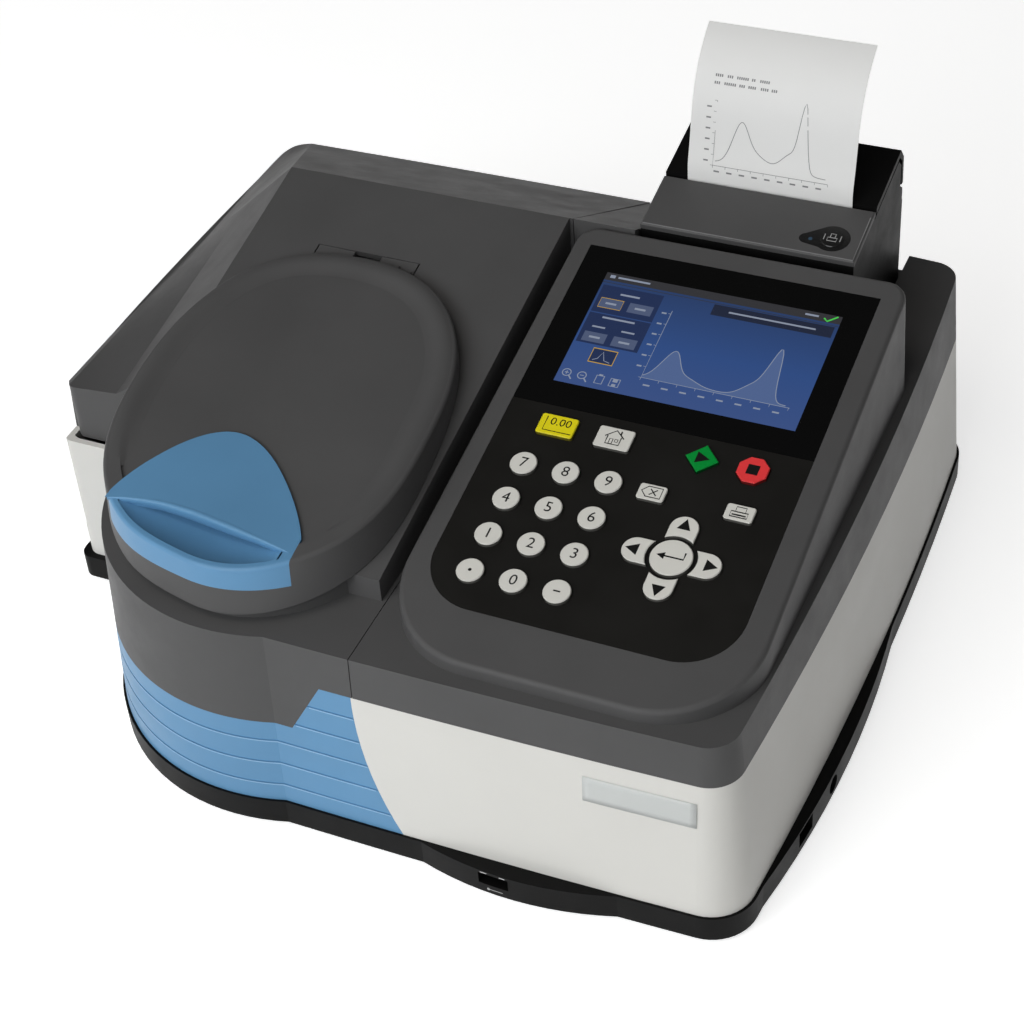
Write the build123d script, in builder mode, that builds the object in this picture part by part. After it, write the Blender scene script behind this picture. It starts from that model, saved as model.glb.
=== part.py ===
from build123d import *
import math
import os

# Benchtop visible spectrophotometer. X points right, Y to the back and Z up. The origin is the middle of
# the footprint on the bench. "from_right" and "from_front" are distances from the sharp corner where the
# lower front wall meets the lower right wall.

# Body envelope, between the sharp corners of the lower walls
body_width = 369.8
body_depth = 333.3
front_bow = 3.9
side_bow = 6.0
rear_bow = 6.6
corner_radius = 19.0
wall_draft = 3.48
wall_thickness = 3.0

# Heights above the bench
foot_height = 2.5
base_height = 12.5
lower_wall_height = 70.0
cover_front_height = 20.2
cover_slope = 2.46

# Base tray
base_proud = 1.2
base_floor = 3.0
front_bulge_reach = 10.5
front_bulge_from_right = 97.0
front_bulge_width = 96.0
side_bulge_reach = 11.0
side_bulge_from_front = 112.0
side_bulge_width = 196.0
foot_radius = 9.0
foot_recess = 1.0
foot_inset = 34.0

# Round sample compartment at the front left
compartment_from_right = 229.1
compartment_from_front = 84.4
compartment_radius = 92.25
step_from_front = 105.0
step_corner_radius = 6.0

# Blue front panel
blue_low_edge = 44.0
blue_step_start = 194.4
blue_step_end = 179.4
blue_right_top = 164.9
blue_right_middle = 160.3
blue_right_bottom = 146.4
groove_pitch = 12.3
groove_first = 9.3
groove_count = 5
groove_width = 0.9
groove_depth = 0.4

# Tilted plane shared by the display, the deck under the lid and the printer
panel_tilt = 13.45
panel_from_right = 136.8
panel_from_front = 150.8
panel_height = 145.5
cover_thickness = 2.8
edge_round = 2.2
seam_from_right = 164.2
seam_gap = 0.4

# Console outline on the panel, from the display's lower left corner
console_left = -22.7
console_right = 131.5
console_front = -145.0
console_rear = 92.0
console_front_radius = 42.0
console_rear_radius = 11.0
console_draft = 2.0
overlay_left = -13.5
overlay_right = 120.4
overlay_front = -121.0
overlay_rear = 79.0
overlay_front_radius = 25.0
overlay_depth = 1.0
overlay_gap = 0.15
overlay_ledge = 4.0
window_front = -13.0
display_width = 108.0
display_height = 64.8
display_bezel = 5.0
display_thickness = 4.6
board_thickness = 1.6
board_margin = 6.0

# Keys on the panel
key_pitch = 19.0
key_grid_left = 5.4
key_grid_top = -46.4
key_radius = 5.8
key_proud = 1.6
key_depth = 1.9
key_gap = 0.3
key_travel = 0.8
key_round = 0.35
enter_radius = 8.8
enter_u = 81.5
enter_v = -75.3
arrow_ring_radius = 10.7
arrow_centre_radius = 16.6
arrow_half_width = 6.1

# Deck and lid over the sample compartment
deck_left_from_right = 309.5
deck_right_from_right = 166.0
slope_break_from_right = 339.0
slope_edge_from_right = 366.0
slope_edge_height = 113.3
rear_edge_height = 119.3
lid_gap = 0.5
lid_centre = (241.0, 100.0)
lid_points = [
    (238.0, 3.6),
    (200.0, 10.5),
    (174.5, 38.0),
    (166.8, 92.0),
    (176.0, 146.0),
    (207.0, 185.0),
    (250.0, 195.4),
    (289.0, 183.0),
    (312.0, 143.0),
    (315.0, 94.0),
    (300.0, 42.0),
    (273.0, 14.5),
]
lid_top_front = 133.0
lid_top_slope = 8.0
lid_draft = 4.0
lid_wall = 3.0
lid_rim = 6.5
dish_depth = 1.2
deck_step = 5.0
handle_low_height = 123.5
handle_apex = (252.0, 75.0)
handle_left = (287.0, 26.3)
handle_right = (195.5, 29.3)
pocket_lip = [(280.5, 27.2), (263.0, 29.3), (230.0, 26.6), (199.5, 21.8)]
pocket_wall = 2.6
pocket_depth = 12.0
pocket_undercut = 9.0

# Lid hinge
hinge_from_right = 248.0
hinge_from_front = 190.5
hinge_below_deck = 1.2
hinge_pin_radius = 1.5
hinge_clearance = 0.05
knuckle_radius = 3.2
knuckle_width = 13.0
hinge_lug_width = 11.0
hinge_play = 0.4
hinge_pocket_radius = 8.5
hinge_pocket_length = 52.0
hinge_pin_length = 34.0
wing_gap = 0.4
wing_thick = 1.6
wing_width = 18.4
wing_root = 4.0
wing_root_high = 3.6

# Sample well and cuvette holder
well_left_from_right = 292.0
well_right_from_right = 182.0
well_front_from_front = 36.0
well_rear_from_front = 156.0
well_floor_height = 40.0
well_wall = 2.2
well_corner = 30.0
well_flange = 3.5
beam_from_front = 88.0
beam_height = 72.0
beam_port_radius = 6.0
cuvette_size = 12.6
holder_width = 34.0
holder_height = 46.0
holder_screw_radius = 5.0

# Snap-in printer
printer_left = 3.4
printer_right = 102.9
printer_front = 96.5
printer_slot = 129.6
printer_slot_width = 1.3
printer_side_wall = 2.2
printer_rear_from_front = 320.0
bay_gap = 0.8
bay_floor_height = 110.0
bay_left = 2.6
bay_right = 105.6
bay_front = 94.2
door_axis_inset = 4.6
door_axis_height = 160.0
door_barrel_radius = 4.0
door_arm_width = 8.0
door_thickness = 3.0
door_pin_radius = 1.8
door_under_gap = 0.8
feed_button_u = 89.7
feed_button_v = 107.8
feed_button_radius = 5.2
feed_button_travel = 0.6
roll_radius = 20.0
roll_core_radius = 6.5
roll_width = 79.0
roll_from_front = 290.0
roll_height = 134.0
paper_width = 77.6
paper_thickness = 0.25
paper_end_from_front = 306.5
paper_end_height = 239.0
platen_radius = 5.0
platen_length = 80.0

# Optics under the console
optics_plate_height = 22.0
optics_plate_thickness = 4.0
optics_beam_height = 72.0
wheel_radius = 24.0
turntable_radius = 11.0
motor_radius = 14.0
shaft_radius = 2.5
shaft_clearance = 0.05

# Rear fan, switch and side sockets
fan_size = 60.0
fan_depth = 15.0
fan_from_right = 90.0
fan_height = 52.0
switch_from_right = 40.0
switch_height = 45.0
switch_width = 13.0
switch_length = 19.0

# Screws under the base
screw_radius = 1.6
screw_head_radius = 3.4
screw_head_height = 2.2
boss_radius = 5.5
boss_height = 16.0

# Places worked out from the sizes above
base_low = foot_height
wall_low = base_low + base_height
wall_high = wall_low + lower_wall_height
cover_high = wall_high + cover_front_height
left_reach = side_bow + base_proud
x_left = left_reach - (body_width + left_reach + side_bulge_reach) / 2
x_right = x_left + body_width
y_front = front_bulge_reach - (body_depth + front_bulge_reach + rear_bow + base_proud) / 2
y_rear = y_front + body_depth
compartment_x = x_right - compartment_from_right
compartment_y = y_front + compartment_from_front
tilt_sine = math.sin(math.radians(panel_tilt))
tilt_cosine = math.cos(math.radians(panel_tilt))
tilt_tangent = tilt_sine / tilt_cosine
panel_x = x_right - panel_from_right
panel_y = y_front + panel_from_front
seam_x = x_right - seam_from_right
deck_left_x = x_right - deck_left_from_right
deck_right_x = x_right - deck_right_from_right
panel_axis = Axis((0, 0, 0), (0, -tilt_sine, tilt_cosine))

panel = Plane(origin=(panel_x, panel_y, panel_height), x_dir=(1, 0, 0), z_dir=(0, -tilt_sine, tilt_cosine))
lid_top = Plane(
    origin=(x_right, y_front, lid_top_front),
    x_dir=(1, 0, 0),
    z_dir=(0, -math.sin(math.radians(lid_top_slope)), math.cos(math.radians(lid_top_slope))),
)


def panel_z(y):
    """Height of the tilted panel plane above a place along Y."""
    return panel_height + (y - panel_y) * tilt_tangent


def panel_point(u, v, h=0.0):
    """Point in space of a place on the panel, h above it."""
    return (
        panel_x + u,
        panel_y + v * tilt_cosine - h * tilt_sine,
        panel_height + v * tilt_sine + h * tilt_cosine,
    )


def across(y):
    """Vertical plane across the body at a place along Y, its sketch X along X and its sketch Y along Z."""
    return Plane(origin=(0, y, 0), x_dir=(1, 0, 0), z_dir=(0, -1, 0))


def along(x):
    """Vertical plane from front to back at a place along X, its sketch X along Y and its sketch Y along Z."""
    return Plane(origin=(x, 0, 0), x_dir=(0, 1, 0), z_dir=(1, 0, 0))


def save(part, name):
    """Label a finished piece and write it."""
    part.label = name
    export_step(part, f"parts/{name}.step")


def draft_at(height):
    """How far the drafted walls lean in at a height."""
    return (height - wall_low) * math.tan(math.radians(wall_draft))


def body_outline(inset):
    """Bowed rectangle with round corners, drawn in by inset, in the open sketch."""
    left = x_left + inset
    right = x_right - inset
    front = y_front + inset
    rear = y_rear - inset
    middle_x = (left + right) / 2
    middle_y = (front + rear) / 2
    with BuildLine() as outline:
        ThreePointArc((left, front), (middle_x, front - front_bow), (right, front))
        ThreePointArc((right, front), (right + side_bow, middle_y), (right, rear))
        ThreePointArc((right, rear), (middle_x, rear + rear_bow), (left, rear))
        ThreePointArc((left, rear), (left - side_bow, middle_y), (left, front))
    make_face(outline.edges())
    fillet(vertices(), max(corner_radius - inset, 4.0))


def step_cut(inset):
    """Plan of what is missing in front of the left rear block, with its round corner, in the open sketch."""
    step_y = y_front + step_from_front + inset
    wall_x = x_left - side_bow * 0.86 + inset
    radius = step_corner_radius
    low_x = x_left - 40
    low_y = y_front - 40
    with BuildLine() as outline:
        Polyline((low_x, low_y), (compartment_x, low_y), (compartment_x, step_y), (wall_x + radius, step_y))
        RadiusArc((wall_x + radius, step_y), (wall_x, step_y + radius), radius)
        Polyline((wall_x, step_y + radius), (low_x, step_y + radius), (low_x, low_y))
    make_face(outline.edges())


def body_block(inset, low, high):
    """Solid envelope of the whole body between two heights, with drafted walls drawn in by inset."""
    with BuildPart() as block:
        with BuildSketch(Plane.XY.offset(low)):
            body_outline(inset + draft_at(low))
        with BuildSketch(Plane.XY.offset(high)):
            body_outline(inset + draft_at(high))
        loft()
        with BuildSketch(Plane.XY.offset(low)):
            step_cut(inset + draft_at((low + high) / 2))
        extrude(amount=high - low, mode=Mode.SUBTRACT)
        with Locations((compartment_x, compartment_y, low)):
            Cone(
                bottom_radius=compartment_radius - inset - draft_at(low),
                top_radius=compartment_radius - inset - draft_at(high),
                height=high - low,
                align=(Align.CENTER, Align.CENTER, Align.MIN),
            )
    return block.part


def blue_boundary(top_left):
    """Closed outline, seen from the front, left of the curved edge where blue meets white."""
    bottom = wall_low - 1
    top = wall_high + 1
    right_bottom = x_right - blue_right_bottom
    right_top = x_right - blue_right_top
    with BuildLine() as outline:
        Polyline((right_top, top), *top_left, (x_left - 20, bottom), (right_bottom, bottom))
        Line((right_bottom, bottom), (right_bottom, wall_low))
        ThreePointArc(
            (right_bottom, wall_low),
            (x_right - blue_right_middle, (wall_low + wall_high) / 2),
            (right_top, wall_high),
        )
        Line((right_top, wall_high), (right_top, top))
    make_face(outline.edges())


step_y = y_front + step_from_front
front_clear_y = y_front - 40
blue_edge_height = wall_low + blue_low_edge

# Everything of the lower walls left of the curved edge and in front of the step
with BuildPart() as left_front_zone:
    with BuildSketch(across(step_y)):
        blue_boundary([(x_left - 20, wall_high + 1)])
    extrude(amount=step_y - front_clear_y)

# The part of that zone which is blue: lower round the compartment, full height beside the white wall
with BuildPart() as blue_zone:
    with BuildSketch(across(step_y)):
        blue_boundary(
            [
                (x_right - blue_step_end, wall_high + 1),
                (x_right - blue_step_end, wall_high),
                (x_right - blue_step_start, blue_edge_height),
                (x_left - 20, blue_edge_height),
            ]
        )
    extrude(amount=step_y - front_clear_y)

wall_outer = body_block(0, wall_low, wall_high)
wall_inner = body_block(wall_thickness, wall_low - 1, wall_high + 1)

screw_places = [
    (x_left + 10.5, y_rear - 10.5),
    (x_right - 10.5, y_rear - 10.5),
    (x_right - 10.5, y_front + 10.5),
    (x_left + 2.0, step_y + 8.0),
]

# White wall band with screw bosses in its corners
with BuildPart() as wall_shell:
    add(wall_outer)
    add(wall_inner, mode=Mode.SUBTRACT)
    add(left_front_zone.part, mode=Mode.SUBTRACT)
    with BuildSketch(Plane.XY.offset(wall_low)):
        with Locations(*screw_places):
            Circle(boss_radius)
    extrude(amount=boss_height)
    with BuildSketch(Plane.XY.offset(wall_low)):
        with Locations(*screw_places):
            Circle(screw_radius)
    extrude(amount=boss_height - 4, mode=Mode.SUBTRACT)
    with BuildSketch(across(y_rear + 20)):
        with Locations((x_right - fan_from_right, fan_height)):
            Circle(fan_size / 2 - 4)
        with Locations((x_right - switch_from_right, switch_height)):
            Rectangle(switch_width + 1, switch_length + 1)
    extrude(amount=40, mode=Mode.SUBTRACT)
save(wall_shell.part, "wall_shell")

# Blue front panel with its fine horizontal grooves
groove_outer = body_block(groove_depth, wall_low, wall_high)
with BuildPart() as blue_panel:
    add(wall_outer)
    add(wall_inner, mode=Mode.SUBTRACT)
    add(blue_zone.part, mode=Mode.INTERSECT)
with BuildPart() as grooves:
    for row in range(groove_count):
        with BuildSketch(Plane.XY.offset(wall_low + groove_first + row * groove_pitch)):
            with Locations(((x_left + x_right) / 2, (y_front + y_rear) / 2)):
                Rectangle(body_width + 60, body_depth + 60)
        extrude(amount=groove_width)
    add(groove_outer, mode=Mode.SUBTRACT)
with BuildPart() as blue_panel_grooved:
    add(blue_panel.part)
    add(grooves.part, mode=Mode.SUBTRACT)
save(blue_panel_grooved.part, "blue_panel")


def bulge(start, middle, end, inner_middle):
    """Lens that stands out of the base outline, in the open sketch."""
    with BuildLine() as outline:
        ThreePointArc(start, middle, end)
        Polyline(end, inner_middle, start)
    make_face(outline.edges())


front_bulge_x = x_right - front_bulge_from_right
side_bulge_y = y_front + side_bulge_from_front
usb_width = 13.2
usb_height = 5.8
usb_low = wall_low - usb_height - 1.6
side_socket_y = y_front + 62.0
side_socket_low = base_low + 3.4
side_socket_size = 8.0
power_socket_y = y_front + 92.0
power_socket_radius = 4.2

# Black base tray with its two bulges and the pockets of its sockets
base_inner = body_block(wall_thickness, base_low + base_floor, wall_low + 1)
with BuildPart() as base_tray:
    with BuildSketch(Plane.XY.offset(base_low)):
        body_outline(-base_proud)
        with BuildSketch(mode=Mode.SUBTRACT):
            step_cut(-base_proud)
        with Locations((compartment_x, compartment_y)):
            Circle(compartment_radius + base_proud)
        bulge(
            (front_bulge_x - front_bulge_width / 2, y_front - front_bow / 2 - base_proud / 2),
            (front_bulge_x, y_front - front_bulge_reach),
            (front_bulge_x + front_bulge_width / 2, y_front - front_bow / 2 - base_proud / 2),
            (front_bulge_x, y_front + 2),
        )
        bulge(
            (x_right + base_proud, side_bulge_y - side_bulge_width / 2),
            (x_right + side_bulge_reach, side_bulge_y),
            (x_right + side_bow * 0.7, side_bulge_y + side_bulge_width / 2),
            (x_right - 1, side_bulge_y),
        )
    extrude(amount=base_height)
    add(base_inner, mode=Mode.SUBTRACT)
    with BuildSketch(Plane.XY.offset(base_low)):
        with Locations(*screw_places):
            Circle(boss_radius)
    extrude(amount=base_height)
    with BuildSketch(across(y_front + 16)):
        with Locations((front_bulge_x - 5.5, usb_low + usb_height / 2)):
            Rectangle(usb_width + 0.4, usb_height + 0.4)
    extrude(amount=40, mode=Mode.SUBTRACT)
    with BuildSketch(along(x_right - 12)):
        with Locations((side_socket_y, side_socket_low + side_socket_size / 2)):
            Rectangle(side_socket_size + 5.4, side_socket_size + 0.4)
        with Locations((power_socket_y, base_low + base_height / 2)):
            Circle(power_socket_radius + 0.2)
    extrude(amount=40, mode=Mode.SUBTRACT)
    with BuildSketch(Plane.XY.offset(base_low)):
        with Locations(*screw_places):
            Circle(screw_radius + shaft_clearance)
    extrude(amount=base_height, mode=Mode.SUBTRACT)
    with BuildSketch(Plane.XY.offset(base_low)):
        with Locations(*screw_places):
            Circle(screw_head_radius + 0.3)
    extrude(amount=1.0, mode=Mode.SUBTRACT)
    foot_places = [
        (x_left + foot_inset, y_rear - foot_inset),
        (x_right - foot_inset, y_rear - foot_inset),
        (x_right - foot_inset, y_front + foot_inset),
        (compartment_x - foot_inset, compartment_y - foot_inset),
    ]
    with BuildSketch(Plane.XY.offset(base_low)):
        with Locations(*foot_places):
            Circle(foot_radius)
    extrude(amount=foot_recess, mode=Mode.SUBTRACT)
save(base_tray.part, "base_tray")

with BuildPart() as rubber_feet:
    with BuildSketch():
        with Locations(*foot_places):
            Circle(foot_radius)
    extrude(amount=foot_height + foot_recess)
    chamfer(rubber_feet.faces().sort_by(Axis.Z)[0].edges(), 0.6)
save(rubber_feet.part, "rubber_feet")

# Screws that come up through the base floor into the wall bosses
with BuildPart() as base_screws:
    for place in screw_places:
        with BuildSketch(Plane.XY.offset(base_low + 1.0)):
            with Locations(place):
                Circle(screw_radius)
        extrude(amount=base_height + boss_height - 6)
        with BuildSketch(Plane.XY.offset(base_low + 1.0)):
            with Locations(place):
                Circle(screw_head_radius)
        extrude(amount=-screw_head_height + 0.9)
save(base_screws.part, "base_screws")

def lid_outline(inset):
    """Smooth oval of the lid in plan, drawn in by inset, in the open sketch."""
    places = []
    for from_right, from_front in lid_points:
        across_x = lid_centre[0] - from_right
        across_y = from_front - lid_centre[1]
        size = 1 - inset / math.hypot(across_x, across_y)
        places.append(
            (x_right - lid_centre[0] + across_x * size, y_front + lid_centre[1] + across_y * size)
        )
    with BuildLine() as outline:
        Spline(*places, periodic=True)
    make_face(outline.edges())


def lid_prism(inset, low, high):
    """Upright prism of the lid outline that narrows a little towards the top."""
    with BuildPart() as prism:
        with BuildSketch(Plane.XY.offset(low)):
            lid_outline(inset)
        with BuildSketch(Plane.XY.offset(high)):
            lid_outline(inset + (high - low) * math.tan(math.radians(lid_draft)))
        loft()
    return prism.part


def half_space(plane, height):
    """Large block below a plane, down by a height."""
    with BuildPart() as block:
        with BuildSketch(plane):
            with Locations((-body_width / 2, body_depth / 2)):
                Rectangle(body_width * 2, body_depth * 2)
        extrude(amount=-height)
    return block.part


# Cover blocks
cover_block_high = panel_z(y_front + 300)
ridge_y = panel_y + console_rear * tilt_cosine
slope_rear_y = y_front + 334.0
platform_inset = deck_step
below_panel = half_space(panel, 120)
below_panel_inner = half_space(panel.offset(-cover_thickness), 120)


def side_section(edge, crease, deck):
    """Closed outline across the side slope at a place along Y, in the open sketch."""
    edge_x, edge_z = edge
    deck_x, deck_z = deck
    low = wall_high + 2
    with BuildLine() as outline:
        Polyline((edge_x - 14, low), (edge_x - 14, edge_z - 8), edge, crease, deck, (deck_x, low), close=True)
    make_face(outline.edges())


def rear_block(shrink):
    """Left rear block under the deck with its side slope and rear slope, thinned by shrink."""
    drop = shrink * 1.15
    deck_drop = shrink / tilt_cosine
    slope_x = x_right - slope_edge_from_right + shrink
    crease_x = x_right - slope_break_from_right + shrink * 0.6
    deck_x = deck_left_x + shrink * 0.4
    hip_x = slope_x + 12
    front = y_front + step_from_front + shrink
    channel_x = deck_right_x - shrink
    flank = seam_x - seam_gap / 2
    low = wall_high + 2
    ridge_z = panel_z(ridge_y) - deck_drop
    rear_z = rear_edge_height + 0.4 - drop
    with BuildPart() as front_slope:
        with BuildSketch(across(front)):
            side_section(
                (slope_x, slope_edge_height - drop),
                (crease_x, slope_edge_height + 1.2 - drop),
                (deck_x, panel_z(front) - deck_drop),
            )
        with BuildSketch(across(ridge_y)):
            side_section(
                (slope_x, slope_edge_height + 2.2 - drop),
                (crease_x, slope_edge_height + 26.7 - drop),
                (deck_x, ridge_z),
            )
        loft(ruled=True)
    with BuildPart() as hip_slope:
        with BuildSketch(across(ridge_y)):
            side_section(
                (slope_x, slope_edge_height + 2.2 - drop),
                (crease_x, slope_edge_height + 26.7 - drop),
                (deck_x, ridge_z),
            )
        with BuildSketch(across(slope_rear_y)):
            side_section(
                (slope_x, rear_edge_height - drop),
                (slope_x + 4, rear_edge_height + 0.2 - drop),
                (hip_x, rear_z),
            )
        loft(ruled=True)
    with BuildPart() as deck_part:
        with BuildSketch(along(deck_x)):
            Polygon(
                (front, low),
                (ridge_y, low),
                (ridge_y, ridge_z),
                (front, panel_z(front) - deck_drop),
                align=None,
            )
        extrude(amount=channel_x - deck_x)
    with BuildPart() as rear_part:
        with BuildSketch(along(hip_x - 5)):
            Polygon((ridge_y, low), (slope_rear_y, low), (slope_rear_y, rear_z), (ridge_y, ridge_z), align=None)
        extrude(amount=flank - hip_x + 5)
        with BuildSketch(Plane.XY.offset(low)):
            Polygon(
                (deck_x, ridge_y),
                (flank, ridge_y),
                (flank, slope_rear_y),
                (hip_x, slope_rear_y),
                align=None,
            )
            if shrink > 0:
                with Locations((channel_x, ridge_y)):
                    Rectangle(40, shrink * 2, align=(Align.MIN, Align.CENTER), mode=Mode.SUBTRACT)
        extrude(amount=cover_block_high - low, mode=Mode.INTERSECT)
    with BuildPart() as block:
        add(front_slope.part)
        add(hip_slope.part)
        add(deck_part.part)
        add(rear_part.part)
    return block.part


def platform(shrink):
    """Raised deck in front of the rear block, under the lid."""
    front = y_front + step_from_front + shrink + 1
    with BuildPart() as block:
        with BuildSketch(Plane.XY.offset(wall_high + 2)):
            lid_outline(platform_inset + shrink)
            with Locations((x_right - deck_right_from_right - shrink, front)):
                Rectangle(60, 70 - shrink, align=(Align.MAX, Align.MAX))
            with BuildSketch(mode=Mode.INTERSECT):
                with Locations((deck_right_x - shrink, front)):
                    Rectangle(300, 300, align=(Align.MAX, Align.MAX))
        extrude(amount=cover_block_high - wall_high)
        add(below_panel if shrink == 0 else below_panel_inner, mode=Mode.INTERSECT)
    return block.part


def flat_slab(shrink, left, right):
    """Slab under the flat top of the covers between two places along X, thinned by shrink."""
    front = y_front - 20
    rear = y_rear + 20
    slope = math.tan(math.radians(cover_slope))
    low = wall_high - (1 if shrink > 0 else 0)
    front_z = cover_high - 20 * slope - shrink
    rear_z = cover_high + (body_depth + 20) * slope - shrink
    with BuildPart() as slab:
        with BuildSketch(along(left)):
            Polygon((front, low), (rear, low), (rear, rear_z), (front, front_z), align=None)
        extrude(amount=right - left)
    return slab.part


def left_form(shrink):
    """Solid form of the left cover, thinned by shrink."""
    with BuildPart() as form:
        add(flat_slab(shrink, x_left - 20, seam_x - seam_gap / 2))
        add(rear_block(shrink))
        add(body_block(shrink, wall_high - 2, cover_block_high), mode=Mode.INTERSECT)
        add(platform(shrink))
    return form.part


# Sample well opening and hinge trough in the deck
well_x = x_right - (well_left_from_right + well_right_from_right) / 2
well_y = y_front + (well_front_from_front + well_rear_from_front) / 2
well_width = well_left_from_right - well_right_from_right
well_length = well_rear_from_front - well_front_from_front
hinge_x = x_right - hinge_from_right
hinge_y = y_front + hinge_from_front
hinge_z = panel_z(hinge_y) - hinge_below_deck

with BuildPart() as left_cover:
    add(left_form(0))
    add(left_form(cover_thickness), mode=Mode.SUBTRACT)
    with BuildSketch(Plane.XY.offset(wall_high)):
        with Locations((well_x, well_y)):
            RectangleRounded(well_width, well_length, well_corner)
    extrude(amount=cover_block_high, mode=Mode.SUBTRACT)
    with BuildSketch(along(hinge_x)):
        with Locations((hinge_y, hinge_z)):
            Circle(hinge_pocket_radius)
    extrude(amount=hinge_pocket_length / 2, both=True, mode=Mode.SUBTRACT)
with BuildPart() as skirt:
    add(wall_outer)
    add(wall_inner, mode=Mode.SUBTRACT)
    add(left_front_zone.part, mode=Mode.INTERSECT)
    add(blue_zone.part, mode=Mode.SUBTRACT)
with BuildPart() as left_cover_whole:
    add(left_cover.part)
    add(skirt.part)
save(left_cover_whole.part, "left_cover")

# Trough under the deck that carries the hinge pin of the lid
with BuildPart() as hinge_bracket:
    with BuildSketch(along(hinge_x)):
        with Locations((hinge_y, hinge_z)):
            Circle(hinge_pocket_radius + 2)
    extrude(amount=hinge_pocket_length / 2 + 2, both=True)
    with BuildSketch(along(hinge_x)):
        with Locations((hinge_y, hinge_z)):
            Circle(hinge_pocket_radius)
    extrude(amount=hinge_pocket_length / 2, both=True, mode=Mode.SUBTRACT)
    add(below_panel_inner, mode=Mode.INTERSECT)
    with BuildSketch(along(hinge_x)):
        with Locations((hinge_y, hinge_z)):
            Circle(knuckle_radius)
        with Locations((hinge_y, hinge_z - hinge_pocket_radius / 2)):
            Rectangle(knuckle_radius * 2, hinge_pocket_radius)
    extrude(amount=knuckle_width / 2, both=True)
    with BuildSketch(along(hinge_x)):
        with Locations((hinge_y, hinge_z)):
            Circle(hinge_pin_radius)
    extrude(amount=hinge_pin_length / 2, both=True)
save(hinge_bracket.part, "hinge_bracket")


def console_outline(inset):
    """Console outline in plan with its two front and two rear corner radii, in the open sketch."""
    low_x = panel_x + console_left + inset
    high_x = panel_x + console_right - inset
    low_y = panel_y + console_front * tilt_cosine + inset
    high_y = panel_y + console_rear * tilt_cosine - inset
    front_radius = console_front_radius - inset
    rear_radius = console_rear_radius - inset
    Polygon((low_x, low_y), (high_x, low_y), (high_x, high_y), (low_x, high_y), align=None)
    fillet(vertices().sort_by(Axis.Y)[:2], front_radius)
    fillet(vertices().sort_by(Axis.Y)[-2:], rear_radius)


def console_block(shrink, low):
    """Solid console up to the tilted panel, thinned by shrink."""
    spread = (cover_block_high - low) * math.tan(math.radians(console_draft))
    with BuildPart() as block:
        with BuildSketch(Plane.XY.offset(low)):
            console_outline(shrink - spread * 0.45)
        extrude(amount=cover_block_high - low + 10, taper=console_draft)
        add(below_panel if shrink == 0 else below_panel_inner, mode=Mode.INTERSECT)
    return block.part


def rear_slope(drop, left, right):
    """Rear slope between the ridge and the rear edge, behind the channel."""
    with BuildPart() as block:
        with BuildSketch(along(left)):
            Polygon(
                (ridge_y + drop, wall_high + 2),
                (ridge_y + drop, panel_z(ridge_y) - drop * 1.15),
                (slope_rear_y, rear_edge_height - drop * 1.15),
                (slope_rear_y, wall_high + 2),
                align=None,
            )
        extrude(amount=right - left)
    return block.part


bay_low_x = panel_x + bay_left
bay_high_x = panel_x + bay_right
bay_front_y = panel_y + bay_front * tilt_cosine
bay_rear_y = y_front + body_depth + 20


def bay(grow):
    """Printer bay, open at the top and the rear, grown by a wall."""
    with BuildPart() as block:
        with BuildSketch(Plane.XY.offset(bay_floor_height - grow)):
            with Locations((bay_low_x - grow, bay_front_y - grow)):
                Rectangle(
                    bay_high_x - bay_low_x + grow * 2,
                    bay_rear_y - bay_front_y,
                    align=(Align.MIN, Align.MIN),
                )
        extrude(amount=90)
    return block.part


def panel_sheet(left, right, front, rear, radius, top, thickness):
    """Sheet parallel to the panel with two round front corners."""
    with BuildPart() as sheet:
        with BuildSketch(panel.offset(top)):
            Polygon((left, front), (right, front), (right, rear), (left, rear), align=None)
            fillet(vertices().sort_by(Axis.Y)[:2], radius)
        extrude(amount=-thickness)
    return sheet.part


console_solid = console_block(0, wall_high + 4)
with BuildPart() as console_rounded:
    add(console_solid)
    face_edges = console_rounded.faces().sort_by(Axis.Z)[-1].edges()
    fillet(face_edges, edge_round)

seam_side_x = seam_x + seam_gap / 2


def right_form(shrink):
    """Solid form of the right cover without the console, thinned by shrink."""
    with BuildPart() as form:
        add(flat_slab(shrink, seam_side_x, x_right + 20))
        add(rear_slope(shrink, seam_side_x, bay_low_x))
        add(bay(shrink), mode=Mode.SUBTRACT)
        add(body_block(shrink, wall_high - 2, cover_block_high), mode=Mode.INTERSECT)
    return form.part


with BuildPart() as right_cover:
    add(right_form(0))
    add(console_rounded.part)
    add(right_form(cover_thickness), mode=Mode.SUBTRACT)
    add(console_block(cover_thickness, wall_high) - bay(cover_thickness), mode=Mode.SUBTRACT)
    add(
        panel_sheet(
            overlay_left,
            overlay_right,
            overlay_front,
            overlay_rear,
            overlay_front_radius,
            1,
            overlay_depth + 1,
        ),
        mode=Mode.SUBTRACT,
    )
    add(
        panel_sheet(
            overlay_left + overlay_ledge,
            overlay_right - overlay_ledge,
            overlay_front + overlay_ledge,
            overlay_rear - overlay_ledge,
            overlay_front_radius - overlay_ledge,
            0,
            cover_thickness + 2,
        ),
        mode=Mode.SUBTRACT,
    )
save(right_cover.part, "right_cover")

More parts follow.
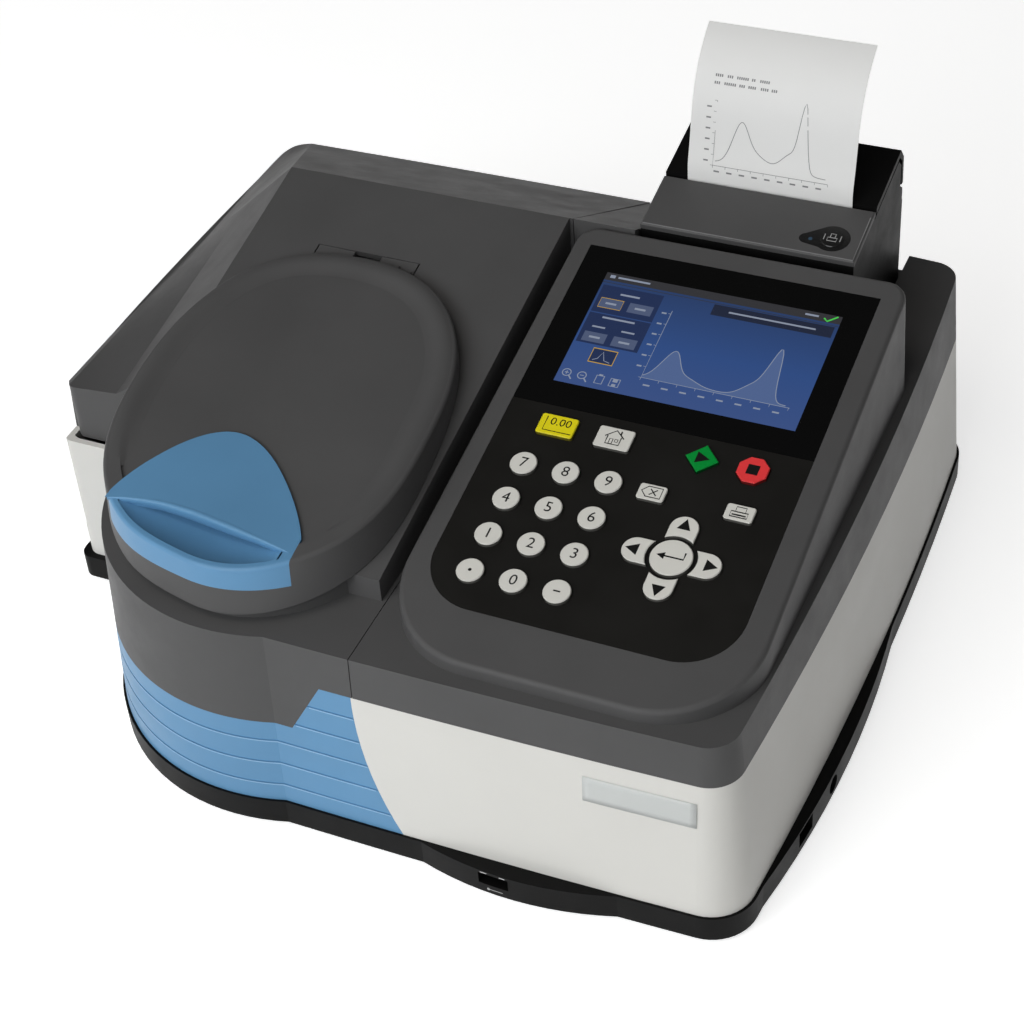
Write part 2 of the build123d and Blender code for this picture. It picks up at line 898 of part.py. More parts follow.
# Keys: name, place on the panel and outline
number_rows = [("7", "8", "9"), ("4", "5", "6"), ("1", "2", "3"), ("decimal", "0", "minus")]
round_keys = []
for row, names in enumerate(number_rows):
    for column, name in enumerate(names):
        round_keys.append((name, key_grid_left + column * key_pitch, key_grid_top - row * key_pitch, key_radius))
round_keys.append(("enter", enter_u, enter_v, enter_radius))
box_keys = [
    ("backspace", 62.6, -46.7, 11.8, 7.9),
    ("print", 100.4, -47.0, 12.2, 7.9),
    ("zero", 11.7, -24.1, 16.6, 10.6),
    ("home", 37.5, -24.2, 15.8, 11.0),
]
side_keys = [("start", 76.4, -24.6, 7.2, 4), ("stop", 98.4, -24.8, 7.0, 8)]
arrow_keys = [("right", 0), ("up", 90), ("left", 180), ("down", 270)]


def key_outlines(grow, wanted):
    """Outlines of the wanted keys, grown by a gap, in the open sketch."""
    for name, u, v, radius in round_keys:
        if name in wanted:
            with Locations((u, v)):
                Circle(radius + grow)
    for name, u, v, width, height in box_keys:
        if name in wanted:
            with Locations((u, v)):
                RectangleRounded(width + grow * 2, height + grow * 2, 1.2 + grow)
    for name, u, v, radius, sides in side_keys:
        if name in wanted:
            with Locations((u, v)):
                RegularPolygon(radius + grow * 1.2, sides, rotation=0 if sides == 4 else 22.5)
    for name, turn in arrow_keys:
        if name in wanted:
            with BuildLine(Plane.XY) as outline:
                inner = arrow_ring_radius - grow
                outer = arrow_centre_radius + 4.4 + grow
                half = arrow_half_width + grow
                edge = math.sqrt(inner**2 - half**2)
                ThreePointArc((edge, half), (inner, 0), (edge, -half))
                Line((edge, -half), (outer - half, -half))
                ThreePointArc((outer - half, -half), (outer, 0), (outer - half, half))
                Line((outer - half, half), (edge, half))
            with Locations(Location((enter_u, enter_v, 0), (0, 0, turn))):
                add(make_face(outline.edges(), mode=Mode.PRIVATE))


key_names = [key[0] for key in round_keys + box_keys + side_keys + arrow_keys]
for key_name in key_names:
    with BuildPart() as key:
        with BuildSketch(panel.offset(-key_depth)):
            key_outlines(0, [key_name])
        extrude(amount=key_depth + key_proud)
        top_face = key.faces().sort_by(panel_axis)[-1]
        chamfer(top_face.edges(), key_round)
    save(key.part, f"key_{key_name}")

with BuildPart() as keypad_overlay:
    add(
        panel_sheet(
            overlay_left + overlay_gap,
            overlay_right - overlay_gap,
            overlay_front + overlay_gap,
            window_front - overlay_gap / 2,
            overlay_front_radius - overlay_gap,
            0,
            overlay_depth,
        )
    )
    with BuildSketch(panel.offset(-overlay_depth)):
        key_outlines(key_gap, key_names)
    extrude(amount=overlay_depth, mode=Mode.SUBTRACT)
save(keypad_overlay.part, "keypad_overlay")

with BuildPart() as display_window:
    add(
        panel_sheet(
            overlay_left + overlay_gap,
            overlay_right - overlay_gap,
            window_front + overlay_gap / 2,
            overlay_rear - overlay_gap,
            0.5,
            0,
            overlay_depth,
        )
    )
save(display_window.part, "display_window")

with BuildPart() as display_module:
    with BuildSketch(panel.offset(-overlay_depth)):
        with Locations((display_width / 2, display_height / 2)):
            Rectangle(display_width + display_bezel * 2, display_height + display_bezel * 2)
    extrude(amount=-display_thickness)
    with BuildSketch(panel.offset(-cover_thickness)):
        with Locations((display_width / 2, display_height / 2 + 4)):
            Rectangle(overlay_right - overlay_left - 1, display_height + 26)
    extrude(amount=-1.2)
save(display_module.part, "display_module")

with BuildPart() as keypad_board:
    add(
        panel_sheet(
            overlay_left - 2,
            overlay_right + 2,
            overlay_front - 2,
            window_front + 2,
            overlay_front_radius - 4,
            -cover_thickness,
            board_thickness,
        )
    )
save(keypad_board.part, "keypad_board")

# Lid over the sample compartment with its blue handle
lid_low = panel_z(y_front) - 6
lid_high = lid_low + 62
above_deck = half_space(panel.offset(lid_gap), 200)
below_lid_top = half_space(lid_top, 120)
below_lid_inner = half_space(lid_top.offset(-lid_wall - dish_depth), 120)
handle_low_block = half_space(Plane.XY.offset(handle_low_height), 120)
wing_top_block = half_space(panel, 60)
wing_low_block = half_space(panel.offset(-wing_thick), 60)


def handle_region():
    """Plan of the handle on the lid, open to the front, in the open sketch."""
    left_x = x_right - handle_left[0]
    right_x = x_right - handle_right[0]
    left_y = y_front + handle_left[1]
    right_y = y_front + handle_right[1]
    apex = (x_right - handle_apex[0], y_front + handle_apex[1])
    with BuildLine() as outline:
        Spline(
            (left_x, left_y),
            (left_x + 9.5, left_y + 26.0),
            apex,
            (right_x - 23.0, right_y + 28.5),
            (right_x, right_y),
        )
        Polyline((right_x, right_y), (right_x + 3, y_front - 20), (left_x - 20, y_front - 20), (left_x, left_y))
    make_face(outline.edges())


with BuildPart() as lid_solid:
    add(lid_prism(0, lid_low, lid_high))
    add(below_lid_top, mode=Mode.INTERSECT)
    add(above_deck, mode=Mode.SUBTRACT)
    lid_top_edges = lid_solid.faces().sort_by(Axis.Z)[-1].edges()
    fillet(lid_top_edges, 1.8)

with BuildPart() as handle_zone:
    with BuildSketch(Plane.XY.offset(handle_low_height)):
        handle_region()
    extrude(amount=60)



def pocket_region(behind):
    """Plan of the finger pocket in front of its curved lip, drawn back by a distance, in the open sketch."""
    lip = [(x_right - from_right, y_front + from_front + behind) for from_right, from_front in pocket_lip]
    with BuildLine() as outline:
        Spline(*lip)
        Polyline(lip[-1], (lip[-1][0], y_front - 20), (lip[0][0], y_front - 20), lip[0])
    make_face(outline.edges())


with BuildPart() as sample_lid:
    add(lid_solid.part)
    with BuildSketch(lid_top):
        with BuildSketch(mode=Mode.PRIVATE) as dish_shape:
            lid_outline(lid_rim + 4)
        with Locations((-x_right, -y_front)):
            add(dish_shape.sketch)
    extrude(amount=-dish_depth, mode=Mode.SUBTRACT)
    with BuildPart(mode=Mode.SUBTRACT):
        add(lid_prism(lid_wall, lid_low - 1, lid_high))
        add(below_lid_inner, mode=Mode.INTERSECT)
    add(handle_zone.part, mode=Mode.SUBTRACT)
    with BuildSketch(along(hinge_x)):
        with Locations((hinge_y, hinge_z)):
            Circle(knuckle_radius + 0.5)
    extrude(amount=knuckle_width / 2 + hinge_play, both=True, mode=Mode.SUBTRACT)
    for side in (-1, 1):
        lug_x = hinge_x + side * (knuckle_width / 2 + hinge_play + hinge_lug_width / 2)
        with BuildSketch(along(lug_x)):
            with Locations((hinge_y, hinge_z)):
                Circle(knuckle_radius)
            with Locations((hinge_y, hinge_z + knuckle_radius / 2)):
                Rectangle(knuckle_radius * 2, knuckle_radius)
        extrude(amount=hinge_lug_width / 2, both=True)
    for side in (-1, 1):
        wing_x = hinge_x + side * (knuckle_width / 2 + hinge_play + wing_width / 2)
        with BuildPart() as wing:
            with BuildSketch(along(wing_x)):
                with Locations((hinge_y, hinge_z)):
                    Circle(hinge_pocket_radius - wing_gap)
            extrude(amount=wing_width / 2, both=True)
            add(wing_top_block, mode=Mode.INTERSECT)
            add(wing_low_block, mode=Mode.SUBTRACT)
        add(wing.part)
        with BuildSketch(along(wing_x)):
            with Locations((hinge_y - wing_root / 2, hinge_z + wing_root_high / 2)):
                Rectangle(wing_root, wing_root_high)
        extrude(amount=wing_width / 2, both=True)
    with BuildSketch(along(hinge_x)):
        with Locations((hinge_y, hinge_z)):
            Circle(hinge_pin_radius + hinge_clearance)
    extrude(amount=hinge_pin_length / 2 + 0.4, both=True, mode=Mode.SUBTRACT)
save(sample_lid.part, "sample_lid")

with BuildPart() as lid_handle:
    add(lid_solid.part)
    add(handle_zone.part, mode=Mode.INTERSECT)
    with BuildSketch(Plane.XY.offset(handle_low_height + 2)):
        lid_outline(pocket_wall + 2.6)
        with BuildSketch(mode=Mode.INTERSECT):
            pocket_region(0)
    extrude(amount=40, mode=Mode.SUBTRACT)
    with BuildSketch(Plane.XY.offset(handle_low_height + 2)):
        lid_outline(pocket_wall + 2.6)
        with BuildSketch(mode=Mode.INTERSECT):
            pocket_region(pocket_undercut)
    extrude(amount=8, mode=Mode.SUBTRACT)
save(lid_handle.part, "lid_handle")

# Sample well that hangs under the deck, with a beam port in each side wall
beam_y = y_front + beam_from_front
well_low_x = well_x - well_width / 2
well_high_x = well_x + well_width / 2
with BuildPart() as sample_well:
    with BuildSketch(Plane.XY.offset(well_floor_height)):
        with Locations((well_x, well_y)):
            RectangleRounded(well_width - 0.2, well_length - 0.2, well_corner - 0.1)
    extrude(amount=cover_block_high - well_floor_height)
    add(below_panel, mode=Mode.INTERSECT)
    with BuildPart() as flange:
        with BuildSketch(Plane.XY.offset(well_floor_height)):
            with Locations((well_x, well_y)):
                RectangleRounded(well_width + well_flange * 2, well_length + well_flange * 2, well_corner + well_flange)
        extrude(amount=cover_block_high - well_floor_height)
        add(below_panel_inner, mode=Mode.INTERSECT)
        add(half_space(panel.offset(-cover_thickness - 1.6), 200), mode=Mode.SUBTRACT)
    with BuildSketch(Plane.XY.offset(well_floor_height + well_wall)):
        with Locations((well_x, well_y)):
            RectangleRounded(well_width - well_wall * 2, well_length - well_wall * 2, well_corner - well_wall)
    extrude(amount=cover_block_high, mode=Mode.SUBTRACT)
    with BuildSketch(along(well_low_x - 5)):
        with Locations((beam_y, beam_height)):
            Circle(beam_port_radius)
    extrude(amount=well_width + 10, mode=Mode.SUBTRACT)
save(sample_well.part, "sample_well")

# Cuvette holder with a square socket, a beam hole and a round clamping screw
holder_x = well_x
holder_low = well_floor_height + well_wall
with BuildPart() as cuvette_holder:
    with BuildSketch(Plane.XY.offset(holder_low)):
        with Locations((holder_x, beam_y)):
            RectangleRounded(holder_width, holder_width, 2.5)
            Rectangle(holder_width + 18, 16)
    extrude(amount=5)
    with BuildSketch(Plane.XY.offset(holder_low + 5)):
        with Locations((holder_x, beam_y)):
            RectangleRounded(holder_width, holder_width, 2.5)
    extrude(amount=holder_height - 5)
    chamfer(cuvette_holder.faces().sort_by(Axis.Z)[-1].edges(), 0.8)
    with BuildSketch(Plane.XY.offset(holder_low + 3)):
        with Locations((holder_x, beam_y)):
            Rectangle(cuvette_size, cuvette_size)
    extrude(amount=holder_height, mode=Mode.SUBTRACT)
    with BuildSketch(along(holder_x)):
        with Locations((beam_y, beam_height)):
            SlotCenterToCenter(12, 8, rotation=90)
    extrude(amount=holder_width, both=True, mode=Mode.SUBTRACT)
    with BuildSketch(across(beam_y - holder_width / 2)):
        with Locations((holder_x, holder_low + holder_height / 2)):
            Circle(holder_screw_radius)
    extrude(amount=6)
save(cuvette_holder.part, "cuvette_holder")

# Printer body: open box with hubs for the paper roll and arms for the door
printer_low_x = panel_x + printer_left
printer_high_x = panel_x + printer_right
printer_mid_x = (printer_low_x + printer_high_x) / 2
printer_front_y = panel_y + printer_front * tilt_cosine
printer_rear_y = y_front + printer_rear_from_front
printer_width = printer_high_x - printer_low_x
roll_y = y_front + roll_from_front
slot_y = panel_y + printer_slot * tilt_cosine
door_axis_y = printer_rear_y - door_axis_inset
door_axis_z = door_axis_height
door_top_rear_y = printer_rear_y - 6
platen_y = slot_y + platen_radius + paper_thickness + 0.1
platen_z = panel_z(platen_y) - door_thickness - platen_radius - 2.5
hub_length = (printer_width - 2 * printer_side_wall - roll_width) / 2 + 4
below_printer_top = half_space(panel.offset(-door_thickness), 120)

with BuildPart() as printer_body:
    with BuildSketch(Plane.XY.offset(bay_floor_height)):
        with Locations((printer_low_x, printer_front_y)):
            Rectangle(printer_width, printer_rear_y - printer_front_y, align=(Align.MIN, Align.MIN))
    extrude(amount=80)
    add(below_printer_top, mode=Mode.INTERSECT)
    with BuildSketch(Plane.XY.offset(bay_floor_height + printer_side_wall)):
        with Locations((printer_low_x + printer_side_wall, printer_front_y + printer_side_wall)):
            Rectangle(
                printer_width - printer_side_wall * 2,
                printer_rear_y - printer_front_y - printer_side_wall * 2,
                align=(Align.MIN, Align.MIN),
            )
    extrude(amount=80, mode=Mode.SUBTRACT)
    with BuildSketch(along(printer_low_x)):
        with Locations((printer_rear_y - 4.6, door_axis_z - door_barrel_radius - 0.6)):
            Rectangle(60, 60, align=(Align.MIN, Align.MIN))
        Polygon(
            (printer_rear_y - 4.6, door_axis_z),
            (printer_rear_y - 4.6, panel_z(door_top_rear_y) - 8.5),
            (door_top_rear_y - 2.6, panel_z(door_top_rear_y) - 4.8),
            (printer_rear_y + 1, panel_z(door_top_rear_y) + 5),
            (printer_rear_y + 1, door_axis_z),
            align=None,
        )
        Polygon(
            (slot_y - 2, panel_z(slot_y - 2) - door_thickness / tilt_cosine - door_under_gap),
            (printer_rear_y, panel_z(printer_rear_y) - door_thickness / tilt_cosine - door_under_gap),
            (printer_rear_y, panel_z(printer_rear_y) + 5),
            (slot_y - 2, panel_z(slot_y - 2) + 5),
            align=None,
        )
    extrude(amount=printer_width, mode=Mode.SUBTRACT)
    with BuildSketch(panel.offset(-door_thickness)):
        with Locations((printer_left, printer_front)):
            Rectangle(printer_width, 24, align=(Align.MIN, Align.MIN))
    extrude(amount=-2)
    for side in (-1, 1):
        arm_x = printer_mid_x + side * (printer_width / 2 - door_arm_width / 2)
        with BuildSketch(along(arm_x)):
            with Locations((door_axis_y, door_axis_z)):
                Circle(door_barrel_radius)
            with Locations((door_axis_y, door_axis_z - 12)):
                Rectangle(door_barrel_radius * 2, 24)
        extrude(amount=door_arm_width / 2, both=True)
        pin_x = printer_mid_x + side * (printer_width / 2 - door_arm_width - 3)
        with BuildSketch(along(pin_x)):
            with Locations((door_axis_y, door_axis_z)):
                Circle(door_pin_radius)
        extrude(amount=3, both=True)
        hub_x = printer_mid_x + side * (printer_width / 2 - printer_side_wall - hub_length / 2)
        with BuildSketch(along(hub_x)):
            with Locations((roll_y, roll_height)):
                Circle(roll_core_radius - shaft_clearance)
        extrude(amount=hub_length / 2, both=True)
with BuildPart() as button_hole:
    with BuildSketch(panel.offset(1)):
        with Locations((feed_button_u, feed_button_v)):
            Circle(feed_button_radius + key_gap)
    extrude(amount=-door_thickness - 1)
save(printer_body.part, "printer_body")

printer_panel_length = printer_slot - printer_slot_width / 2 - door_thickness * tilt_sine - printer_front
with BuildPart() as printer_panel:
    with BuildSketch(panel):
        with Locations((printer_left, printer_front)):
            Rectangle(printer_width, printer_panel_length, align=(Align.MIN, Align.MIN))
    extrude(amount=-door_thickness)
    chamfer(printer_panel.faces().sort_by(panel_axis)[-1].edges(), 0.6)
    add(button_hole.part, mode=Mode.SUBTRACT)
save(printer_panel.part, "printer_panel")

with BuildPart() as feed_button:
    with BuildSketch(panel.offset(0.5)):
        with Locations((feed_button_u, feed_button_v)):
            Circle(feed_button_radius)
    extrude(amount=-door_thickness + feed_button_travel - 0.4)
    chamfer(feed_button.faces().sort_by(panel_axis)[-1].edges(), 0.3)
save(feed_button.part, "feed_button")

# Paper door with its rear wall, barrel and the two cheeks of the platen roller
door_front_y = slot_y + printer_slot_width / 2
with BuildPart() as printer_door:
    with BuildSketch(along(printer_mid_x)):
        Polygon(
            (door_front_y, panel_z(door_front_y)),
            (door_top_rear_y, panel_z(door_top_rear_y)),
            (printer_rear_y - 1, panel_z(door_top_rear_y) - 6),
            (printer_rear_y, door_axis_z),
            (printer_rear_y - 2.4, door_axis_z),
            (printer_rear_y - 3.4, panel_z(door_top_rear_y) - 7),
            (door_top_rear_y - 1.4, panel_z(door_top_rear_y) - door_thickness * 1.03),
            (door_front_y, panel_z(door_front_y) - door_thickness / tilt_cosine),
            align=None,
        )
    extrude(amount=printer_width / 2, both=True)
    for side in (-1, 1):
        clear_x = printer_mid_x + side * (printer_width / 2 - door_arm_width / 2)
        with BuildSketch(along(clear_x)):
            with Locations((door_axis_y, door_axis_z - 6)):
                Rectangle(door_barrel_radius * 2 + 8, door_barrel_radius * 2 + 13)
        extrude(amount=door_arm_width / 2 + 0.4, both=True, mode=Mode.SUBTRACT)
        cheek_x = printer_mid_x + side * (platen_length / 2 + 3)
        with BuildSketch(along(cheek_x)):
            with Locations((platen_y, platen_z)):
                Circle(4.4)
            with Locations((platen_y, platen_z + 5)):
                Rectangle(8.8, 10)
        extrude(amount=1.5, both=True)
    add(half_space(panel, 120), mode=Mode.INTERSECT)
    with BuildSketch(along(printer_mid_x)):
        with Locations((door_axis_y, door_axis_z)):
            Circle(door_barrel_radius)
    extrude(amount=printer_width / 2 - door_arm_width - 0.4, both=True)
    with BuildSketch(along(printer_mid_x)):
        with Locations((door_axis_y, door_axis_z)):
            Circle(door_pin_radius + shaft_clearance)
        with Locations((platen_y, platen_z)):
            Circle(shaft_radius + shaft_clearance)
    extrude(amount=printer_width / 2, both=True, mode=Mode.SUBTRACT)
save(printer_door.part, "printer_door")

with BuildPart() as platen_roller:
    with BuildSketch(along(printer_mid_x)):
        with Locations((platen_y, platen_z)):
            Circle(platen_radius)
    extrude(amount=platen_length / 2, both=True)
    with BuildSketch(along(printer_mid_x)):
        with Locations((platen_y, platen_z)):
            Circle(shaft_radius)
    extrude(amount=platen_length / 2 + 6.5, both=True)
    with BuildSketch(along(printer_mid_x + platen_length / 2 + 4.8)):
        with Locations((platen_y, platen_z)):
            RegularPolygon(5.2, 12)
    extrude(amount=1.7)
save(platen_roller.part, "platen_roller")

with BuildPart() as print_head:
    with BuildSketch(along(printer_mid_x)):
        with Locations((slot_y - paper_thickness - 0.1, platen_z - 1.5)):
            Rectangle(7, 9, align=(Align.MAX, Align.CENTER))
        with Locations((slot_y - 5, platen_z - 6)):
            Rectangle(slot_y - 5 - printer_front_y - printer_side_wall, 2, align=(Align.MAX, Align.CENTER))
    extrude(amount=platen_length / 2, both=True)
save(print_head.part, "print_head")

with BuildPart() as paper_roll:
    with BuildSketch(along(printer_mid_x)):
        with Locations((roll_y, roll_height)):
            Circle(roll_radius)
            Circle(roll_core_radius, mode=Mode.SUBTRACT)
    extrude(amount=roll_width / 2, both=True)
save(paper_roll.part, "paper_roll")

# Paper from the roll, between head and platen, out of the slot and curling back
paper_low_y = roll_y - roll_radius - paper_thickness / 2 - 0.1
paper_points = [
    (slot_y, panel_z(slot_y) + 3),
    (slot_y + 2.2, panel_z(slot_y) + 14.0),
    (slot_y + 6.8, panel_z(slot_y) + 34.0),
    (slot_y + 14.6, panel_z(slot_y) + 50.0),
    (y_front + paper_end_from_front, paper_end_height),
]
with BuildPart() as paper_strip:
    with BuildSketch(along(printer_mid_x)):
        with BuildLine() as path:
            Line((paper_low_y, roll_height), (paper_low_y, roll_height + 3))
            Spline(
                (paper_low_y, roll_height + 3),
                (slot_y, platen_z - 8),
                tangents=((0, 1), (0, 1)),
            )
            Line((slot_y, platen_z - 8), (slot_y, panel_z(slot_y) + 3))
            Spline(*paper_points, tangents=((0, 1), (0.85, 0.5)))
        trace(path.line, line_width=paper_thickness)
    extrude(amount=paper_width / 2, both=True)
save(paper_strip.part, "paper_strip")


def post(part_x, part_y, low, high, radius):
    """Round post between two heights."""
    with BuildPart() as block:
        with BuildSketch(Plane.XY.offset(low)):
            with Locations((part_x, part_y)):
                Circle(radius)
        extrude(amount=high - low)
    return block.part


def box_at(centre_x, centre_y, low, width, depth, height):
    """Upright box on a height."""
    with BuildPart() as block:
        with BuildSketch(Plane.XY.offset(low)):
            with Locations((centre_x, centre_y)):
                Rectangle(width, depth)
        extrude(amount=height)
    return block.part


# Optics plate on posts that stand on the base floor
floor_height = base_low + base_floor
deck_top = optics_plate_height + optics_plate_thickness
plate_low_x = x_right - 160.0
plate_high_x = x_right - 24.0
plate_low_y = y_front + 40.0
plate_high_y = y_front + 262.0
lamp_x = x_right - 60.0
lamp_y = y_front + 236.0
wheel_x = x_right - 60.0
wheel_y = y_front + 186.0
grating_x = x_right - 122.0
grating_y = y_front + 196.0
with BuildPart() as optics_deck:
    with BuildSketch(Plane.XY.offset(optics_plate_height)):
        with Locations((plate_low_x, plate_low_y)):
            Rectangle(plate_high_x - plate_low_x, plate_high_y - plate_low_y, align=(Align.MIN, Align.MIN))
        with Locations((grating_x, grating_y)):
            Circle(shaft_radius + 6, mode=Mode.SUBTRACT)
    extrude(amount=optics_plate_thickness)
    for post_x in (plate_low_x + 10, plate_high_x - 10):
        for post_y in (plate_low_y + 10, plate_high_y - 10):
            add(post(post_x, post_y, floor_height, optics_plate_height, 6))
save(optics_deck.part, "optics_deck")

# Lamp on a finned block
with BuildPart() as tungsten_lamp:
    add(box_at(lamp_x, lamp_y, deck_top, 34, 26, 34))
    for fin in range(6):
        add(box_at(lamp_x, lamp_y, deck_top + 36 + fin * 4, 34, 26, 1.4))
    add(box_at(lamp_x, lamp_y, deck_top + 34, 12, 12, 26))
    with BuildSketch(across(lamp_y - 12)):
        with Locations((lamp_x, optics_beam_height)):
            Circle(6)
    extrude(amount=8)
save(tungsten_lamp.part, "tungsten_lamp")

# Filter wheel on a shaft along the beam, with its bracket
wheel_bore = shaft_radius + shaft_clearance
wheel_centre_z = optics_beam_height - wheel_radius * 0.62
with BuildPart() as filter_wheel:
    with BuildSketch(across(wheel_y)):
        with Locations((wheel_x, wheel_centre_z)):
            Circle(wheel_radius)
            with PolarLocations(wheel_radius * 0.62, 6):
                Circle(5, mode=Mode.SUBTRACT)
            Circle(wheel_bore, mode=Mode.SUBTRACT)
    extrude(amount=3)
save(filter_wheel.part, "filter_wheel")

# Mirrors on posts, the filter wheel bracket and the exit lens, all screwed to the plate
mirror_places = [(x_right - 60.0, y_front + 88.0, 45), (x_right - 122.0, y_front + 120.0, -30)]
with BuildPart() as optics_mounts:
    for mirror_x, mirror_y, turn in mirror_places:
        add(post(mirror_x, mirror_y, deck_top, optics_beam_height - 15, 5))
        with BuildSketch(Plane.XY.offset(optics_beam_height - 15)):
            with Locations(Location((mirror_x, mirror_y, 0), (0, 0, turn))):
                Rectangle(30, 5)
        extrude(amount=30)
    add(box_at(wheel_x, wheel_y + 8, deck_top, 12, 8, wheel_centre_z + 6 - deck_top))
    with BuildSketch(across(wheel_y + 5)):
        with Locations((wheel_x, wheel_centre_z)):
            Circle(shaft_radius)
    extrude(amount=11)
    add(box_at(plate_low_x + 6, beam_y, deck_top, 10, 20, optics_beam_height + 12 - deck_top))
    with BuildSketch(along(plate_low_x)):
        with Locations((beam_y, optics_beam_height)):
            Circle(6)
    extrude(amount=14, mode=Mode.SUBTRACT)
save(optics_mounts.part, "optics_mounts")

with BuildPart() as stepper_motor:
    add(box_at(grating_x, grating_y, floor_height, motor_radius * 2, motor_radius * 2, optics_plate_height - floor_height - 0.5))
    add(post(grating_x, grating_y, optics_plate_height - 0.5, deck_top + 8, shaft_radius))
save(stepper_motor.part, "stepper_motor")

with BuildPart() as grating_mount:
    add(post(grating_x, grating_y, deck_top + 1, deck_top + 12, turntable_radius))
    add(box_at(grating_x, grating_y, deck_top + 12, turntable_radius * 1.5, 5, optics_beam_height - deck_top + 2))
    add(post(grating_x, grating_y, deck_top, deck_top + 9, shaft_radius + shaft_clearance), mode=Mode.SUBTRACT)
save(grating_mount.part, "grating_mount")

# Detector on the left of the well
detector_high_x = well_low_x + 0.1
with BuildPart() as detector_board:
    with BuildSketch(along(detector_high_x)):
        with Locations((beam_y, beam_height)):
            Circle(beam_port_radius + 2)
            Circle(beam_port_radius - 1, mode=Mode.SUBTRACT)
    extrude(amount=-8)
    with BuildSketch(along(detector_high_x - 8)):
        with Locations((beam_y, beam_height)):
            Rectangle(34, 26)
    extrude(amount=-board_thickness)
save(detector_board.part, "detector_board")

# Main circuit board on the right, standing on the optics plate
board_x = plate_high_x + 0.8
with BuildPart() as main_board:
    add(box_at(board_x, y_front + 150, floor_height, board_thickness, 180, 84))
    for spot in range(5):
        add(box_at(board_x - 4, y_front + 84 + spot * 32, deck_top + 20, 8, 16, 12 + 4 * (spot % 3)))
save(main_board.part, "main_board")

fan_x = x_right - fan_from_right
fan_y = y_front + 312.0
with BuildPart() as fan_frame:
    with BuildSketch(across(fan_y + fan_depth)):
        with Locations((fan_x, fan_height)):
            RectangleRounded(fan_size, fan_size, 4)
            Circle(fan_size / 2 - 2, mode=Mode.SUBTRACT)
            Circle(11)
            Rectangle(fan_size - 3, 3)
            Rectangle(3, fan_size - 3)
            with GridLocations(fan_size - 10, fan_size - 10, 2, 2):
                Circle(2, mode=Mode.SUBTRACT)
    extrude(amount=3)
    with BuildSketch(across(fan_y + fan_depth - 3)):
        with Locations((fan_x, fan_height)):
            RectangleRounded(fan_size, fan_size, 4)
            Circle(fan_size / 2 - 2, mode=Mode.SUBTRACT)
    extrude(amount=fan_depth - 3)
    with BuildSketch(across(fan_y + fan_depth - 3)):
        with Locations((fan_x, fan_height)):
            Circle(shaft_radius)
    extrude(amount=9)
    add(box_at(fan_x, fan_y + fan_depth / 2, floor_height, fan_size, fan_depth, fan_height - fan_size / 2 - floor_height))
save(fan_frame.part, "fan_frame")

with BuildPart() as fan_rotor:
    with BuildSketch(across(fan_y + fan_depth - 3.5)):
        with Locations((fan_x, fan_height)):
            Circle(11)
            Circle(shaft_radius + shaft_clearance, mode=Mode.SUBTRACT)
    extrude(amount=9)
    for blade in range(7):
        with BuildSketch(across(fan_y + fan_depth - 4)):
            with Locations(Location((fan_x, fan_height, 0), (0, 0, blade * 360 / 7))):
                with Locations((17, 0)):
                    Rectangle(15, 7)
        extrude(amount=1.6)
save(fan_rotor.part, "fan_rotor")

# Sockets in the base: one front, two side ones and the power inlet
with BuildPart() as base_sockets:
    with BuildSketch(across(y_front - 1.5)):
        with Locations((front_bulge_x - 5.5, usb_low + usb_height / 2)):
            Rectangle(usb_width, usb_height)
    extrude(amount=-16)
    with BuildSketch(across(y_front - 1.5)):
        with Locations((front_bulge_x - 5.5, usb_low + usb_height / 2)):
            Rectangle(usb_width - 0.9, usb_height - 0.9)
    extrude(amount=-12, mode=Mode.SUBTRACT)
    with BuildSketch(across(y_front - 1.0)):
        with Locations((front_bulge_x - 5.5, usb_low + usb_height / 2 + 1)):
            Rectangle(usb_width - 2.4, 1.4)
    extrude(amount=-11.5)
    with BuildSketch(along(x_right + 5)):
        with Locations((side_socket_y, side_socket_low + side_socket_size / 2)):
            Rectangle(side_socket_size + 5, side_socket_size)
    extrude(amount=-14)
    with BuildSketch(along(x_right + 5)):
        with Locations((side_socket_y, side_socket_low + side_socket_size / 2)):
            Rectangle(side_socket_size + 3, side_socket_size - 2)
    extrude(amount=-10, mode=Mode.SUBTRACT)
    with BuildSketch(along(x_right + 7)):
        with Locations((power_socket_y, base_low + base_height / 2)):
            Circle(power_socket_radius)
    extrude(amount=-16)
    with BuildSketch(along(x_right + 7)):
        with Locations((power_socket_y, base_low + base_height / 2)):
            Circle(power_socket_radius - 1.2)
            Circle(1.0, mode=Mode.SUBTRACT)
    extrude(amount=-9, mode=Mode.SUBTRACT)
save(base_sockets.part, "base_sockets")

# Rocker switch in the rear wall
switch_x = x_right - switch_from_right
switch_y = y_rear + 2.0
with BuildPart() as power_switch:
    with BuildSketch(across(switch_y + 1.6)):
        with Locations((switch_x, switch_height)):
            Rectangle(switch_width + 4, switch_length + 4)
    extrude(amount=1.6)
    with BuildSketch(across(switch_y)):
        with Locations((switch_x, switch_height)):
            Rectangle(switch_width, switch_length)
    extrude(amount=16)
    with BuildSketch(across(switch_y + 2)):
        with Locations((switch_x, switch_height)):
            Rectangle(switch_width - 3, switch_length - 3)
    extrude(amount=12, mode=Mode.SUBTRACT)
    with BuildSketch(along(switch_x)):
        with Locations((switch_y - 3, switch_height)):
            Circle(1.2)
    extrude(amount=switch_width / 2 - 0.5, both=True)
save(power_switch.part, "power_switch")

